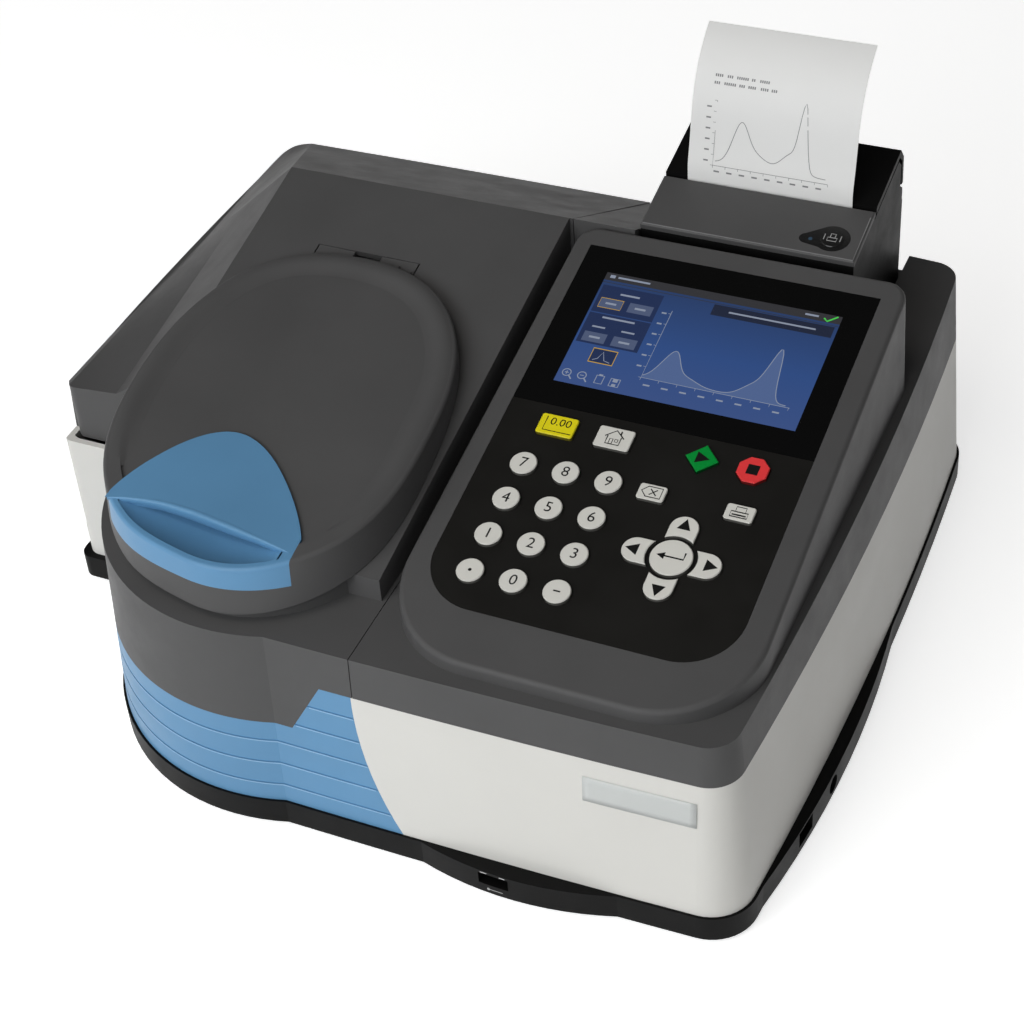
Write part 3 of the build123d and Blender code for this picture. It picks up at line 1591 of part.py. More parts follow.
with BuildPart() as power_rocker:
    with BuildSketch(along(switch_x)):
        with BuildLine() as outline:
            Polyline((switch_y + 2.2, switch_height - 7.0), (switch_y - 5.4, switch_height - 4.0))
            Polyline((switch_y - 5.4, switch_height - 4.0), (switch_y - 5.4, switch_height + 4.0))
            Polyline((switch_y - 5.4, switch_height + 4.0), (switch_y + 2.2, switch_height + 7.0))
            ThreePointArc(
                (switch_y + 2.2, switch_height + 7.0),
                (switch_y + 1.0, switch_height),
                (switch_y + 2.2, switch_height - 7.0),
            )
        make_face(outline.edges())
        with Locations((switch_y - 3, switch_height)):
            Circle(1.25, mode=Mode.SUBTRACT)
    extrude(amount=switch_width / 2 - 1.8, both=True)
save(power_rocker.part, "power_rocker")
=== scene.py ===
import math

import bpy
import numpy as np
from mathutils import Matrix, Vector
from mathutils.bvhtree import BVHTree


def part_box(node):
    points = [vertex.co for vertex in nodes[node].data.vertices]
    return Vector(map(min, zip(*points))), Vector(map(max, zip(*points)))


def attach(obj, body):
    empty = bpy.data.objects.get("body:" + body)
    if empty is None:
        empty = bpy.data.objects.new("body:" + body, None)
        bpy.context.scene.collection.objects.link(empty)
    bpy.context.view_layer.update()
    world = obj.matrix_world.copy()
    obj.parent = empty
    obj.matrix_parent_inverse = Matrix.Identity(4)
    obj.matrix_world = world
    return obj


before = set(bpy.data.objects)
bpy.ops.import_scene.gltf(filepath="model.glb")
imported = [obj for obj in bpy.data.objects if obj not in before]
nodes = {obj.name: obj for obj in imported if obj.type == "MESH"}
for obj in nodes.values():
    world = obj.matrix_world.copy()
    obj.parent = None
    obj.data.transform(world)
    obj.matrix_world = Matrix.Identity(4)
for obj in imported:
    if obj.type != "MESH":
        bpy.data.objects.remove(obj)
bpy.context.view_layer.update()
MM = 0.001

# Tilted plane of the display, deck and printer, and the front right corner of the walls before rounding
TILT = math.radians(13.45)
SINE, COSINE = math.sin(TILT), math.cos(TILT)
PANEL_X, PANEL_Y, PANEL_Z = 46.2 * MM, -14.5 * MM, 145.5 * MM
RIGHT_X, FRONT_Y = 183.0 * MM, -165.3 * MM
NORMAL = Vector((0, -SINE, COSINE))


def panel(u, v, h=0.0):
    """Point on the tilted panel, in millimetres from the display's corner."""
    return Vector(
        (
            PANEL_X + u * MM,
            PANEL_Y + (v * COSINE - h * SINE) * MM,
            PANEL_Z + (v * SINE + h * COSINE) * MM,
        )
    )


def placed(name, data):
    """A new object in the scene."""
    obj = bpy.data.objects.new(name, data)
    bpy.context.scene.collection.objects.link(obj)
    return obj


def mesh_piece(name, verts, faces, material, body, smooth=False):
    """A piece from points and faces that rides on a body."""
    mesh = bpy.data.meshes.new(name)
    mesh.from_pydata([tuple(v) for v in verts], [], faces)
    mesh.update()
    obj = placed(name, mesh)
    mesh.materials.append(material)
    for poly in mesh.polygons:
        poly.use_smooth = smooth
    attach(obj, body)


# Materials


def base_tree(name):
    material = bpy.data.materials.new(name)
    material.use_nodes = True
    tree = material.node_tree
    return material, tree, tree.nodes["Principled BSDF"]


def noise(tree, coordinates, scale, detail, rough=0.55):
    made = tree.nodes.new("ShaderNodeTexNoise")
    made.inputs["Scale"].default_value = scale
    made.inputs["Detail"].default_value = detail
    made.inputs["Roughness"].default_value = rough
    tree.links.new(coordinates.outputs["Object"], made.inputs["Vector"])
    return made


def ramp(tree, source, stops):
    made = tree.nodes.new("ShaderNodeValToRGB")
    elements = made.color_ramp.elements
    while len(elements) < len(stops):
        elements.new(0.5)
    for element, (place, colour) in zip(elements, stops):
        element.position = place
        element.color = (*colour, 1.0) if len(colour) == 3 else colour
    tree.links.new(source, made.inputs["Fac"])
    return made


def grey(value):
    return (value, value, value)


def plastic(name, colour, rough, grain=2600.0, depth=0.05, cloud=0.06, specular=0.5, side=None):
    """Moulded plastic: fine texture in the bump, slow colour clouds and uneven gloss. A side colour, when
    given, is painted shade on faces turned away from the panel's normal.
    """
    material, tree, shader = base_tree(name)
    place = tree.nodes.new("ShaderNodeTexCoord")
    slow = noise(tree, place, 14.0, 4.0)
    darker = tuple(c * (1 - cloud) for c in colour)
    lighter = tuple(min(c * (1 + cloud), 1.0) for c in colour)
    tint = ramp(tree, slow.outputs["Fac"], [(0.32, darker), (0.7, lighter)])
    if side is None:
        tree.links.new(tint.outputs["Color"], shader.inputs["Base Color"])
    else:
        # Painted shade: faces tilted away from the panel's normal, such as the keys' side walls, get the
        # darker side colour
        lean = tree.nodes.new("ShaderNodeVectorMath")
        lean.operation = "DOT_PRODUCT"
        lean.inputs[1].default_value = NORMAL
        tree.links.new(place.outputs["Normal"], lean.inputs[0])
        top = ramp(tree, lean.outputs["Value"], [(0.35, grey(0.0)), (0.8, grey(1.0))])
        painted_side_shade = tree.nodes.new("ShaderNodeMix")
        painted_side_shade.data_type = "RGBA"
        painted_side_shade.inputs["A"].default_value = (*side, 1)
        tree.links.new(top.outputs["Color"], painted_side_shade.inputs["Factor"])
        tree.links.new(tint.outputs["Color"], painted_side_shade.inputs["B"])
        tree.links.new(painted_side_shade.outputs["Result"], shader.inputs["Base Color"])
    smudge = noise(tree, place, 55.0, 5.0, 0.65)
    gloss = ramp(tree, smudge.outputs["Fac"], [(0.3, grey(rough - 0.05)), (0.72, grey(rough + 0.07))])
    tree.links.new(gloss.outputs["Color"], shader.inputs["Roughness"])
    fine = noise(tree, place, grain, 2.0, 0.5)
    bump = tree.nodes.new("ShaderNodeBump")
    bump.inputs["Strength"].default_value = depth
    bump.inputs["Distance"].default_value = 0.0002
    tree.links.new(fine.outputs["Fac"], bump.inputs["Height"])
    tree.links.new(bump.outputs["Normal"], shader.inputs["Normal"])
    shader.inputs["Specular IOR Level"].default_value = specular
    return material


def metal(name, colour, rough, stretch):
    """Machined or drawn metal with fine lines."""
    material, tree, shader = base_tree(name)
    place = tree.nodes.new("ShaderNodeTexCoord")
    mapping = tree.nodes.new("ShaderNodeMapping")
    mapping.inputs["Scale"].default_value = stretch
    tree.links.new(place.outputs["Object"], mapping.inputs["Vector"])
    lines = tree.nodes.new("ShaderNodeTexNoise")
    lines.inputs["Scale"].default_value = 900.0
    lines.inputs["Detail"].default_value = 3.0
    tree.links.new(mapping.outputs["Vector"], lines.inputs["Vector"])
    tint = ramp(tree, lines.outputs["Fac"], [(0.3, tuple(c * 0.86 for c in colour)), (0.7, colour)])
    tree.links.new(tint.outputs["Color"], shader.inputs["Base Color"])
    gloss = ramp(tree, lines.outputs["Fac"], [(0.3, grey(rough - 0.06)), (0.7, grey(rough + 0.08))])
    tree.links.new(gloss.outputs["Color"], shader.inputs["Roughness"])
    bump = tree.nodes.new("ShaderNodeBump")
    bump.inputs["Strength"].default_value = 0.08
    bump.inputs["Distance"].default_value = 0.0001
    tree.links.new(lines.outputs["Fac"], bump.inputs["Height"])
    tree.links.new(bump.outputs["Normal"], shader.inputs["Normal"])
    shader.inputs["Metallic"].default_value = 1.0
    return material


def glow(name, colour, strength):
    """Lit picture element with a faint pixel grain."""
    material, tree, shader = base_tree(name)
    place = tree.nodes.new("ShaderNodeTexCoord")
    fine = noise(tree, place, 3000.0, 1.0)
    tint = ramp(tree, fine.outputs["Fac"], [(0.3, tuple(c * 0.93 for c in colour)), (0.7, colour)])
    tree.links.new(tint.outputs["Color"], shader.inputs["Emission Color"])
    shader.inputs["Emission Strength"].default_value = strength
    shader.inputs["Base Color"].default_value = (0.01, 0.01, 0.012, 1)
    shader.inputs["Roughness"].default_value = 0.2
    return material


COVER = plastic("cover_grey_plastic", (0.087, 0.086, 0.087), 0.5, 2400.0, 0.16, 0.07, 0.2)
WHITE = plastic("wall_white_plastic", (0.735, 0.725, 0.69), 0.45, 2000.0, 0.06, 0.02, 0.45)
BLUE = plastic("blue_plastic", (0.115, 0.29, 0.50), 0.42, 2200.0, 0.07, 0.05, 0.4)
BASE = plastic("base_black_plastic", (0.004, 0.004, 0.004), 0.5, 2200.0, 0.10, 0.1, 0.1)
RUBBER = plastic("foot_rubber", (0.02, 0.02, 0.02), 0.8, 1500.0, 0.2, 0.1, 0.2)
OVERLAY = plastic("keypad_film", (0.0085, 0.008, 0.007), 0.42, 3200.0, 0.05, 0.12, 0.3)
WINDOW = plastic("display_window_gloss", (0.0018, 0.0018, 0.0018), 0.10, 900.0, 0.0, 0.1, 0.4)
# The side colours of the keys are painted shade on their side walls
KEY = plastic("key_white", (0.76, 0.75, 0.70), 0.5, 2400.0, 0.05, 0.02, 0.4, side=(0.10, 0.098, 0.09))
YELLOW = plastic("key_yellow", (0.88, 0.77, 0.01), 0.5, 2400.0, 0.05, 0.03, 0.25, side=(0.14, 0.12, 0.01))
GREEN = plastic("key_green", (0.0, 0.29, 0.04), 0.5, 2400.0, 0.05, 0.04, 0.15, side=(0.0, 0.05, 0.01))
RED = plastic("key_red", (0.88, 0.05, 0.055), 0.5, 2400.0, 0.05, 0.04, 0.2, side=(0.14, 0.01, 0.01))
INK = plastic("legend_ink", (0.008, 0.008, 0.008), 0.55, 2600.0, 0.02, 0.1, 0.15)
BOARD = plastic("circuit_board", (0.015, 0.12, 0.05), 0.35, 1500.0, 0.08, 0.2, 0.5)
PAPER = plastic("thermal_paper", (0.83, 0.83, 0.82), 0.5, 1400.0, 0.08, 0.015, 0.3)
PAPER_INK = plastic("thermal_print", (0.27, 0.27, 0.28), 0.6, 2600.0, 0.02, 0.15, 0.2)
DARK_GLOSS = plastic("button_patch", (0.008, 0.008, 0.008), 0.22, 2200.0, 0.02, 0.1, 0.4)
BADGE = plastic("badge_silver", (0.60, 0.62, 0.61), 0.34, 1800.0, 0.04, 0.04, 0.5)
STEEL = metal("brushed_steel", (0.52, 0.52, 0.53), 0.32, (1.0, 1.0, 12.0))
ALUMINIUM = metal("milled_aluminium", (0.66, 0.67, 0.68), 0.38, (1.0, 14.0, 1.0))
ANODISED = plastic("black_anodised", (0.016, 0.016, 0.018), 0.34, 1800.0, 0.1, 0.1, 0.6)
MARK = plastic("pale_mark", (0.42, 0.42, 0.42), 0.5)
TRIM = plastic("printer_trim_line", (0.23, 0.23, 0.235), 0.4)
# Lighter blue for the painted highlight on the grooves' lower edges
GROOVE_HIGHLIGHT_PAINT = plastic("blue_painted_groove_highlight", (0.30, 0.50, 0.72), 0.4, 2200.0, 0.05, 0.05, 0.4)

SKIN = {
    "base_tray": BASE,
    "rubber_feet": RUBBER,
    "base_screws": STEEL,
    "wall_shell": WHITE,
    "blue_panel": BLUE,
    "left_cover": COVER,
    "right_cover": COVER,
    "keypad_overlay": OVERLAY,
    "display_window": WINDOW,
    "display_module": ANODISED,
    "keypad_board": BOARD,
    "hinge_bracket": STEEL,
    "sample_lid": COVER,
    "lid_handle": BLUE,
    "sample_well": BASE,
    "cuvette_holder": ANODISED,
    "printer_body": BASE,
    "printer_panel": COVER,
    "printer_door": BASE,
    "feed_button": DARK_GLOSS,
    "paper_roll": PAPER,
    "paper_strip": PAPER,
    "platen_roller": RUBBER,
    "print_head": ALUMINIUM,
    "optics_deck": ALUMINIUM,
    "tungsten_lamp": ALUMINIUM,
    "optics_mounts": ANODISED,
    "stepper_motor": STEEL,
    "grating_mount": ANODISED,
    "filter_wheel": ANODISED,
    "detector_board": BOARD,
    "main_board": BOARD,
    "fan_frame": BASE,
    "fan_rotor": BASE,
    "base_sockets": STEEL,
    "power_switch": BASE,
    "power_rocker": BASE,
    "key_zero": YELLOW,
    "key_start": GREEN,
    "key_stop": RED,
}
for name, obj in nodes.items():
    obj.data.materials.clear()
    obj.data.materials.append(SKIN.get(name, KEY))


# Flat marks on a surface: polygons given in two measures and laid on it by a function


def lay(name, polygons, spot, material, body):
    """Flat polygons laid on a surface. spot turns a pair of measures into a point in space."""
    verts, faces = [], []
    for polygon in polygons:
        first = len(verts)
        verts += [spot(*p) for p in polygon]
        faces.append(list(range(first, first + len(polygon))))
    mesh_piece(name, verts, faces, material, body)


def strip(points, width, closed=False):
    """Quads along a line of points, mitred."""
    quads = []
    count = len(points)
    sides = []
    for i, (x, y) in enumerate(points):
        if closed:
            before, after = points[i - 1], points[(i + 1) % count]
        else:
            before, after = points[max(i - 1, 0)], points[min(i + 1, count - 1)]
        dx, dy = after[0] - before[0], after[1] - before[1]
        size = math.hypot(dx, dy) or 1.0
        sides.append((-dy / size * width / 2, dx / size * width / 2))
    pairs = range(count if closed else count - 1)
    for i in pairs:
        j = (i + 1) % count
        (ax, ay), (bx, by) = points[i], points[j]
        (sx, sy), (tx, ty) = sides[i], sides[j]
        quads.append([(ax - sx, ay - sy), (bx - tx, by - ty), (bx + tx, by + ty), (ax + sx, ay + sy)])
    return quads


def box(x0, y0, x1, y1):
    return [(x0, y0), (x1, y0), (x1, y1), (x0, y1)]


def disc(x, y, radius, count=28):
    turns = [2 * math.pi * i / count for i in range(count)]
    return [(x + radius * math.cos(a), y + radius * math.sin(a)) for a in turns]


def arc(x, y, wide, high, start, end, step):
    """Points along an ellipse between two angles in degrees."""
    turns = [math.radians(d) for d in range(start, end, step)]
    return [(x + wide * math.cos(a), y + high * math.sin(a)) for a in turns]


def ring(x, y, radius, width, count):
    return strip(disc(x, y, radius, count), width, True)


def on_panel(height):
    return lambda u, v: panel(u, v, height)


def baked(helper):
    """Plain mesh of a helper object, which is then removed."""
    bpy.context.view_layer.update()
    mesh = bpy.data.meshes.new_from_object(helper.evaluated_get(bpy.context.evaluated_depsgraph_get()))
    bpy.data.objects.remove(helper)
    return mesh


PANEL_TURN = Matrix(((1, 0, 0), (0, COSINE, -SINE), (0, SINE, COSINE))).to_4x4()
PANEL_PLACE = Matrix.Translation((PANEL_X, PANEL_Y, PANEL_Z)) @ (PANEL_TURN @ Matrix.Scale(MM, 4))


def tick_row_tree():
    """Geometry Nodes tree for a row of small bars, all measures in panel millimetres."""
    tree = bpy.data.node_groups.new("row_of_bars", "GeometryNodeTree")
    sockets = {}
    for label, kind in (
        ("Count", "NodeSocketInt"),
        ("Start", "NodeSocketVector"),
        ("Step", "NodeSocketVector"),
        ("Size", "NodeSocketVector"),
        ("Finish", "NodeSocketMaterial"),
    ):
        made = tree.interface.new_socket(label, in_out="INPUT", socket_type=kind)
        sockets[label] = made.identifier
    tree.interface.new_socket("Geometry", in_out="OUTPUT", socket_type="NodeSocketGeometry")
    given = tree.nodes.new("NodeGroupInput")
    result = tree.nodes.new("NodeGroupOutput")
    line = tree.nodes.new("GeometryNodeMeshLine")
    bar = tree.nodes.new("GeometryNodeMeshCube")
    bars = tree.nodes.new("GeometryNodeInstanceOnPoints")
    real = tree.nodes.new("GeometryNodeRealizeInstances")
    finish = tree.nodes.new("GeometryNodeSetMaterial")
    link = tree.links.new
    link(given.outputs["Count"], line.inputs["Count"])
    link(given.outputs["Start"], line.inputs["Start Location"])
    link(given.outputs["Step"], line.inputs["Offset"])
    link(given.outputs["Size"], bar.inputs["Size"])
    link(line.outputs["Mesh"], bars.inputs["Points"])
    link(bar.outputs["Mesh"], bars.inputs["Instance"])
    link(bars.outputs["Instances"], real.inputs["Geometry"])
    link(real.outputs["Geometry"], finish.inputs["Geometry"])
    link(given.outputs["Finish"], finish.inputs["Material"])
    link(finish.outputs["Geometry"], result.inputs["Geometry"])
    return tree, sockets


BAR_TREE, BAR_SOCKETS = tick_row_tree()


def bar_row(name, count, start, step, size, material, body):
    """A row of bars on the panel, made by the tree and turned into a plain mesh."""
    helper = placed(name + "_helper", bpy.data.meshes.new(name + "_empty"))
    maker = helper.modifiers.new("bars", "NODES")
    maker.node_group = BAR_TREE
    given = {"Count": count, "Start": start, "Step": step, "Size": size, "Finish": material}
    for label, value in given.items():
        maker[BAR_SOCKETS[label]] = value
    mesh = baked(helper)
    mesh.transform(PANEL_PLACE)
    obj = placed(name, mesh)
    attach(obj, body)


# Display picture

SCREEN_WIDE, SCREEN_HIGH = 108, 64.8
PICTURE_RISE, AREA_RISE, BUTTON_RISE, LINE_RISE = 0.04, 0.07, 0.1, 0.13

screen, tree, shader = base_tree("screen_blue")
place = tree.nodes.new("ShaderNodeTexCoord")
split = tree.nodes.new("ShaderNodeSeparateXYZ")
tree.links.new(place.outputs["Object"], split.inputs["Vector"])
reach = tree.nodes.new("ShaderNodeMapRange")
reach.inputs["From Min"].default_value = panel(0, 0).z
reach.inputs["From Max"].default_value = panel(0, SCREEN_HIGH).z
tree.links.new(split.outputs["Z"], reach.inputs["Value"])
SCREEN_FADE = [(0.0, (0.045, 0.085, 0.24)), (0.45, (0.03, 0.075, 0.235)), (1.0, (0.022, 0.045, 0.125))]
fade = ramp(tree, reach.outputs["Result"], SCREEN_FADE)
tree.links.new(fade.outputs["Color"], shader.inputs["Emission Color"])
shader.inputs["Emission Strength"].default_value = 0.85
shader.inputs["Base Color"].default_value = (0.004, 0.008, 0.02, 1)
shader.inputs["Roughness"].default_value = 0.15

SCREEN_BAR = glow("screen_bar", (0.034, 0.034, 0.038), 0.8)
SCREEN_SIDE = glow("screen_side", (0.012, 0.028, 0.095), 0.8)
SCREEN_BUTTON = glow("screen_button", (0.085, 0.115, 0.21), 0.8)
SCREEN_DARK = glow("screen_dark", (0.012, 0.02, 0.05), 0.7)
SCREEN_WHITE = glow("screen_white", (0.27, 0.31, 0.40), 0.9)
SCREEN_PALE = glow("screen_pale", (0.085, 0.14, 0.31), 0.85)
SCREEN_ORANGE = glow("screen_orange", (0.55, 0.34, 0.05), 0.9)
SCREEN_GREEN = glow("screen_green", (0.06, 0.55, 0.07), 1.0)


def lit(name, polygons, rise, material):
    lay(f"display_{name}", polygons, on_panel(rise), material, "base")


choice_button, peak_button = box(3, 44.5, 13.5, 50), box(10.5, 13.8, 21.5, 21.6)
buttons = [choice_button, box(16.5, 44.5, 27.5, 50), box(3, 24.5, 13.5, 30), box(16.5, 24.5, 27.5, 30)]
bars = [box(0, 60.4, SCREEN_WIDE, SCREEN_HIGH), box(0, 58.9, SCREEN_WIDE, 59.2)]
lit("picture", [box(0, 0, SCREEN_WIDE, SCREEN_HIGH)], PICTURE_RISE, screen)
lit("bar", bars, AREA_RISE, SCREEN_BAR)
lit("side", [box(1.0, 23.4, 29.5, 40.9), box(1.0, 41.5, 29.5, 57.5), peak_button], AREA_RISE, SCREEN_SIDE)
lit("buttons", buttons, BUTTON_RISE, SCREEN_BUTTON)
lit("caption", [box(52.5, 52.2, 106.5, 58.4)], BUTTON_RISE, SCREEN_DARK)
orange = strip(choice_button, 0.35, True) + strip(peak_button, 0.55, True)
lit("choice", orange, LINE_RISE, SCREEN_ORANGE)


def peaks(x):
    """Absorbance curve with a broad peak on the left and a taller one on the right."""
    broad = 15.5 * math.exp(-(((x - 45.5) / 5.2) ** 2))
    shoulder = 4.0 * math.exp(-(((x - 54) / 8.0) ** 2))
    tall = 24.5 * math.exp(-(((x - 89.5) / 3.4) ** 2))
    foot = 8.5 * math.exp(-(((x - 84.5) / 6.5) ** 2))
    return 0.8 + broad + shoulder + tall + foot


AXIS_U, AXIS_V = 36, 11.0
CURVE_WIDE, CURVE_STEPS = 64, 80
steps = [AXIS_U + CURVE_WIDE * i / CURVE_STEPS for i in range(CURVE_STEPS + 1)]
curve_line = [(x, AXIS_V + peaks(x)) for x in steps]
filled = [
    [(x0, AXIS_V), (x1, AXIS_V), (x1, y1), (x0, y0)]
    for (x0, y0), (x1, y1) in zip(curve_line[:-1], curve_line[1:])
]
lit("area", filled, BUTTON_RISE, SCREEN_PALE)
white = strip(curve_line, 0.35)
white += strip([(AXIS_U, 50), (AXIS_U, AXIS_V), (102, AXIS_V)], 0.28)
bar_row("display_ticks_low", 9, (36, 10.3, 0.11), (8.2, 0, 0), (0.2, 1.4, 0.04), SCREEN_WHITE, "base")
bar_row("display_ticks_side", 7, (35.4, 11, 0.11), (0, 6.2, 0), (1.2, 0.2, 0.04), SCREEN_WHITE, "base")
bar_row("display_scale_low", 8, (39.7, 7.35, 0.11), (8.2, 0, 0), (3.0, 0.8, 0.04), SCREEN_WHITE, "base")
bar_row("display_scale_side", 6, (32.9, 17.0, 0.11), (0, 6.2, 0), (2.2, 0.8, 0.04), SCREEN_WHITE, "base")
white += [box(2.2, 61.9, 4.6, 63.6), box(6.0, 62.2, 21.0, 63.2), box(92, 62.2, 98, 63.2)]
white += [box(60, 54.8, 99, 55.7), box(10.5, 53.0, 19.5, 54.0), box(7.5, 38.6, 22.5, 39.6)]
white += [box(5.8, 46.7, 10.8, 47.8), box(19.5, 46.7, 24.5, 47.8), box(5.8, 26.7, 10.8, 27.8)]
white += [box(19.5, 26.7, 24.5, 27.8), box(5.0, 32.8, 11.0, 33.7), box(18.6, 32.8, 24.6, 33.7)]
white += strip([(12, 15), (14, 16.2), (15.4, 20.2), (17.2, 15.6), (20, 14.9)], 0.35)
for icon_x in (4.0, 11.0):
    white += ring(icon_x, 5.6, 1.9, 0.45, 20)
    white += strip([(icon_x + 1.4, 4.2), (icon_x + 3.0, 2.4)], 0.6)
    white += [box(icon_x - 0.9, 5.4, icon_x + 0.9, 5.8)]
white += [box(3.8, 4.7, 4.2, 6.5)]
white += strip(box(17.4, 3.0, 20.8, 7.4), 0.45, True) + [box(18.2, 7.2, 20.0, 8.2)]
white += strip(box(24.0, 3.0, 28.2, 7.2), 0.45, True)
white += [box(25.0, 5.4, 27.2, 7.2), box(25.2, 3.0, 27.0, 4.4)]
lit("lines", white, LINE_RISE, SCREEN_WHITE)
lit("tick", strip([(100.5, 62.4), (102.2, 60.8), (106.2, 64.3)], 0.8), LINE_RISE + 0.01, SCREEN_GREEN)


# Legends of the keys


KEY_RISE, INK_RISE = 1.6, 0.03
KEY_TOP = KEY_RISE + INK_RISE
KEY_PITCH = 19
NUMBERS_U, NUMBERS_V = 5.4, -46.4
ARROWS_U, ARROWS_V = 81.5, -75.3


def legend(name, polygons, key=None):
    """Ink mark on a key, which is the key of the same name if none is given."""
    lay(f"legend_{name}", polygons, on_panel(KEY_TOP), INK, f"key_{key or name}")


def digits(text, size, u, v, name):
    """Ink digits on the key of that name."""
    data = bpy.data.curves.new(f"legend_{name}_curve", "FONT")
    data.body = text
    data.size = size * MM
    data.align_x = "CENTER"
    data.align_y = "CENTER"
    data.resolution_u = 3
    mesh = baked(placed(f"legend_{name}_helper", data))
    mesh.transform(Matrix.Translation(panel(u, v, KEY_TOP)) @ PANEL_TURN)
    mesh.materials.clear()
    mesh.materials.append(INK)
    obj = placed(f"legend_{name}", mesh)
    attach(obj, f"key_{name}")


number_rows = [("7", "8", "9"), ("4", "5", "6"), ("1", "2", "3"), ("decimal", "0", "minus")]
for row, names in enumerate(number_rows):
    for column, name in enumerate(names):
        u, v = NUMBERS_U + KEY_PITCH * column, NUMBERS_V - KEY_PITCH * row
        if name == "decimal":
            legend(name, [disc(u, v, 0.75)])
        elif name == "minus":
            legend(name, [box(u - 1.5, v - 0.35, u + 1.5, v + 0.35)])
        else:
            digits(name, 7.2, u, v, name)

enter = strip([(76.6, ARROWS_V), (86.6, ARROWS_V), (86.6, -71.9)], 0.75)
enter += [[(75.2, ARROWS_V), (78.6, -73.6), (78.6, -77.0)]]
legend("enter", enter)
for name, turn in (("right", 0), ("up", 90), ("left", 180), ("down", 270)):
    along, aside = math.cos(math.radians(turn)), math.sin(math.radians(turn))
    arrow = []
    for out, side in ((19.6, 0.0), (14.2, 2.9), (14.2, -2.9)):
        arrow.append((ARROWS_U + out * along - side * aside, ARROWS_V + out * aside + side * along))
    legend(name, [arrow])

u, v = 62.6, -46.7
tag = [(u - 4.4, v), (u - 2.0, v + 2.6), (u + 4.2, v + 2.6), (u + 4.2, v - 2.6), (u - 2.0, v - 2.6)]
back = strip(tag, 0.5, True)
back += strip([(u - 0.8, v - 1.5), (u + 2.2, v + 1.5)], 0.5)
back += strip([(u - 0.8, v + 1.5), (u + 2.2, v - 1.5)], 0.5)
legend("backspace", back)

u, v = 100.4, -47.0
sheet = strip(box(u - 3.6, v - 2.4, u + 3.6, v + 0.2), 0.55, True)
sheet += strip(box(u - 1.9, v + 0.2, u + 2.3, v + 2.7), 0.45, True)
sheet += [box(u - 3.0, v - 1.7, u + 3.0, v - 1.0)]
legend("print", sheet)

u, v = 37.5, -24.2
house = strip([(u - 4.2, v + 0.3), (u, v + 4.0), (u + 4.2, v + 0.3)], 0.55)
house += strip([(u - 3.0, v + 0.8), (u - 3.0, v - 3.4), (u + 3.0, v - 3.4), (u + 3.0, v + 0.8)], 0.5)
house += strip(box(u - 1.6, v - 3.2, u - 0.2, v - 0.6), 0.4, True)
house += strip(box(u + 0.7, v - 2.0, u + 2.0, v - 0.6), 0.4, True)
house += [box(u + 1.9, v + 2.0, u + 2.6, v + 4.0)]
legend("home", house)
digits("0.00", 5.6, 12.9, -22.6, "zero")
legend("zero_axis", strip([(6.2, -20.2), (6.2, -27.6), (19.0, -27.6)], 0.45), "zero")
legend("start", [[(73.9, -27.6), (73.9, -21.6), (79.8, -24.6)]])
legend("stop", [box(95.9, -27.3, 100.9, -22.3)])

# Button patch, light, mark and trim line on the printer
PRINTER_RISE = 0.05
LIGHT = glow("printer_light_glow", (0.05, 0.12, 0.2), 0.4)
patch = arc(89.7, 107.8, 8.0, 7.6, -125, 126, 10) + arc(78.5, 105.6, 3.4, 3.0, 110, 251, 20)
lay("printer_patch", [patch], on_panel(PRINTER_RISE), DARK_GLOSS, "base")
lay("printer_light", [disc(80.3, 105.6, 0.9)], on_panel(0.09), LIGHT, "base")
feed = strip(box(87.6, 105.9, 91.8, 107.9), 0.4, True)
feed += strip([(88.6, 107.9), (88.6, 110.2), (90.8, 110.2), (90.8, 107.9)], 0.4)
feed += strip([(86.0, 106.2), (86.0, 109.6)], 0.35) + strip([(93.4, 106.2), (93.4, 109.6)], 0.35)
lay("legend_feed", feed, on_panel(0.54), MARK, "feed_button")
trim = strip([(4.3, 97.4), (102.1, 97.4), (102.1, 124.0)], 0.55)
lay("printer_trim", trim, on_panel(PRINTER_RISE), TRIM, "base")

# Lid: soft rim, and the handle's crown, lip and finger bowl


def curve_through(points, count, closed=False):
    """Points spread evenly along a smooth curve through the given ones."""
    knots = np.array(points, float)
    if closed:
        knots = np.vstack([knots[-3:], knots, knots[:4]])
    span = np.r_[0, np.cumsum(np.linalg.norm(np.diff(knots, axis=0), axis=1))]
    size, gaps = len(knots), np.diff(span)
    matrix, right = np.eye(size), np.zeros((size, 2))
    for i in range(1, size - 1):
        matrix[i, i - 1 : i + 2] = gaps[i - 1], 2 * (gaps[i - 1] + gaps[i]), gaps[i]
        right[i] = 6 * ((knots[i + 1] - knots[i]) / gaps[i] - (knots[i] - knots[i - 1]) / gaps[i - 1])
    bend = np.linalg.solve(matrix, right)
    first, last = (span[3], span[3 + len(points)]) if closed else (0.0, span[-1])
    found = []
    for t in np.linspace(first, last, count, endpoint=not closed):
        i = min(max(int(np.searchsorted(span, t, side="right")) - 1, 0), size - 2)
        a, b = (span[i + 1] - t) / gaps[i], (t - span[i]) / gaps[i]
        bulge = ((a**3 - a) * bend[i] + (b**3 - b) * bend[i + 1]) * gaps[i] ** 2 / 6
        found.append(a * knots[i] + b * knots[i + 1] + bulge)
    return np.array(found)


OUTLINE_POINTS = 240
LID_MIDDLE = np.array((-58.0, -65.3))
LID_OUTLINE = [
    (-55.0, -161.7),
    (-17.0, -154.8),
    (8.5, -127.3),
    (16.2, -73.3),
    (7.0, -19.3),
    (-24.0, 19.7),
    (-67.0, 30.1),
    (-106.0, 17.7),
    (-129.0, -22.3),
    (-132.0, -71.3),
    (-117.0, -123.3),
    (-90.0, -150.8),
]


def lid_height(y):
    """Height of the lid's top plane, in millimetres."""
    return 133.0 + 0.14054 * (y + 165.3)


def lid_point(x, y, h):
    return Vector((x * MM, y * MM, (lid_height(y) + h) * MM))


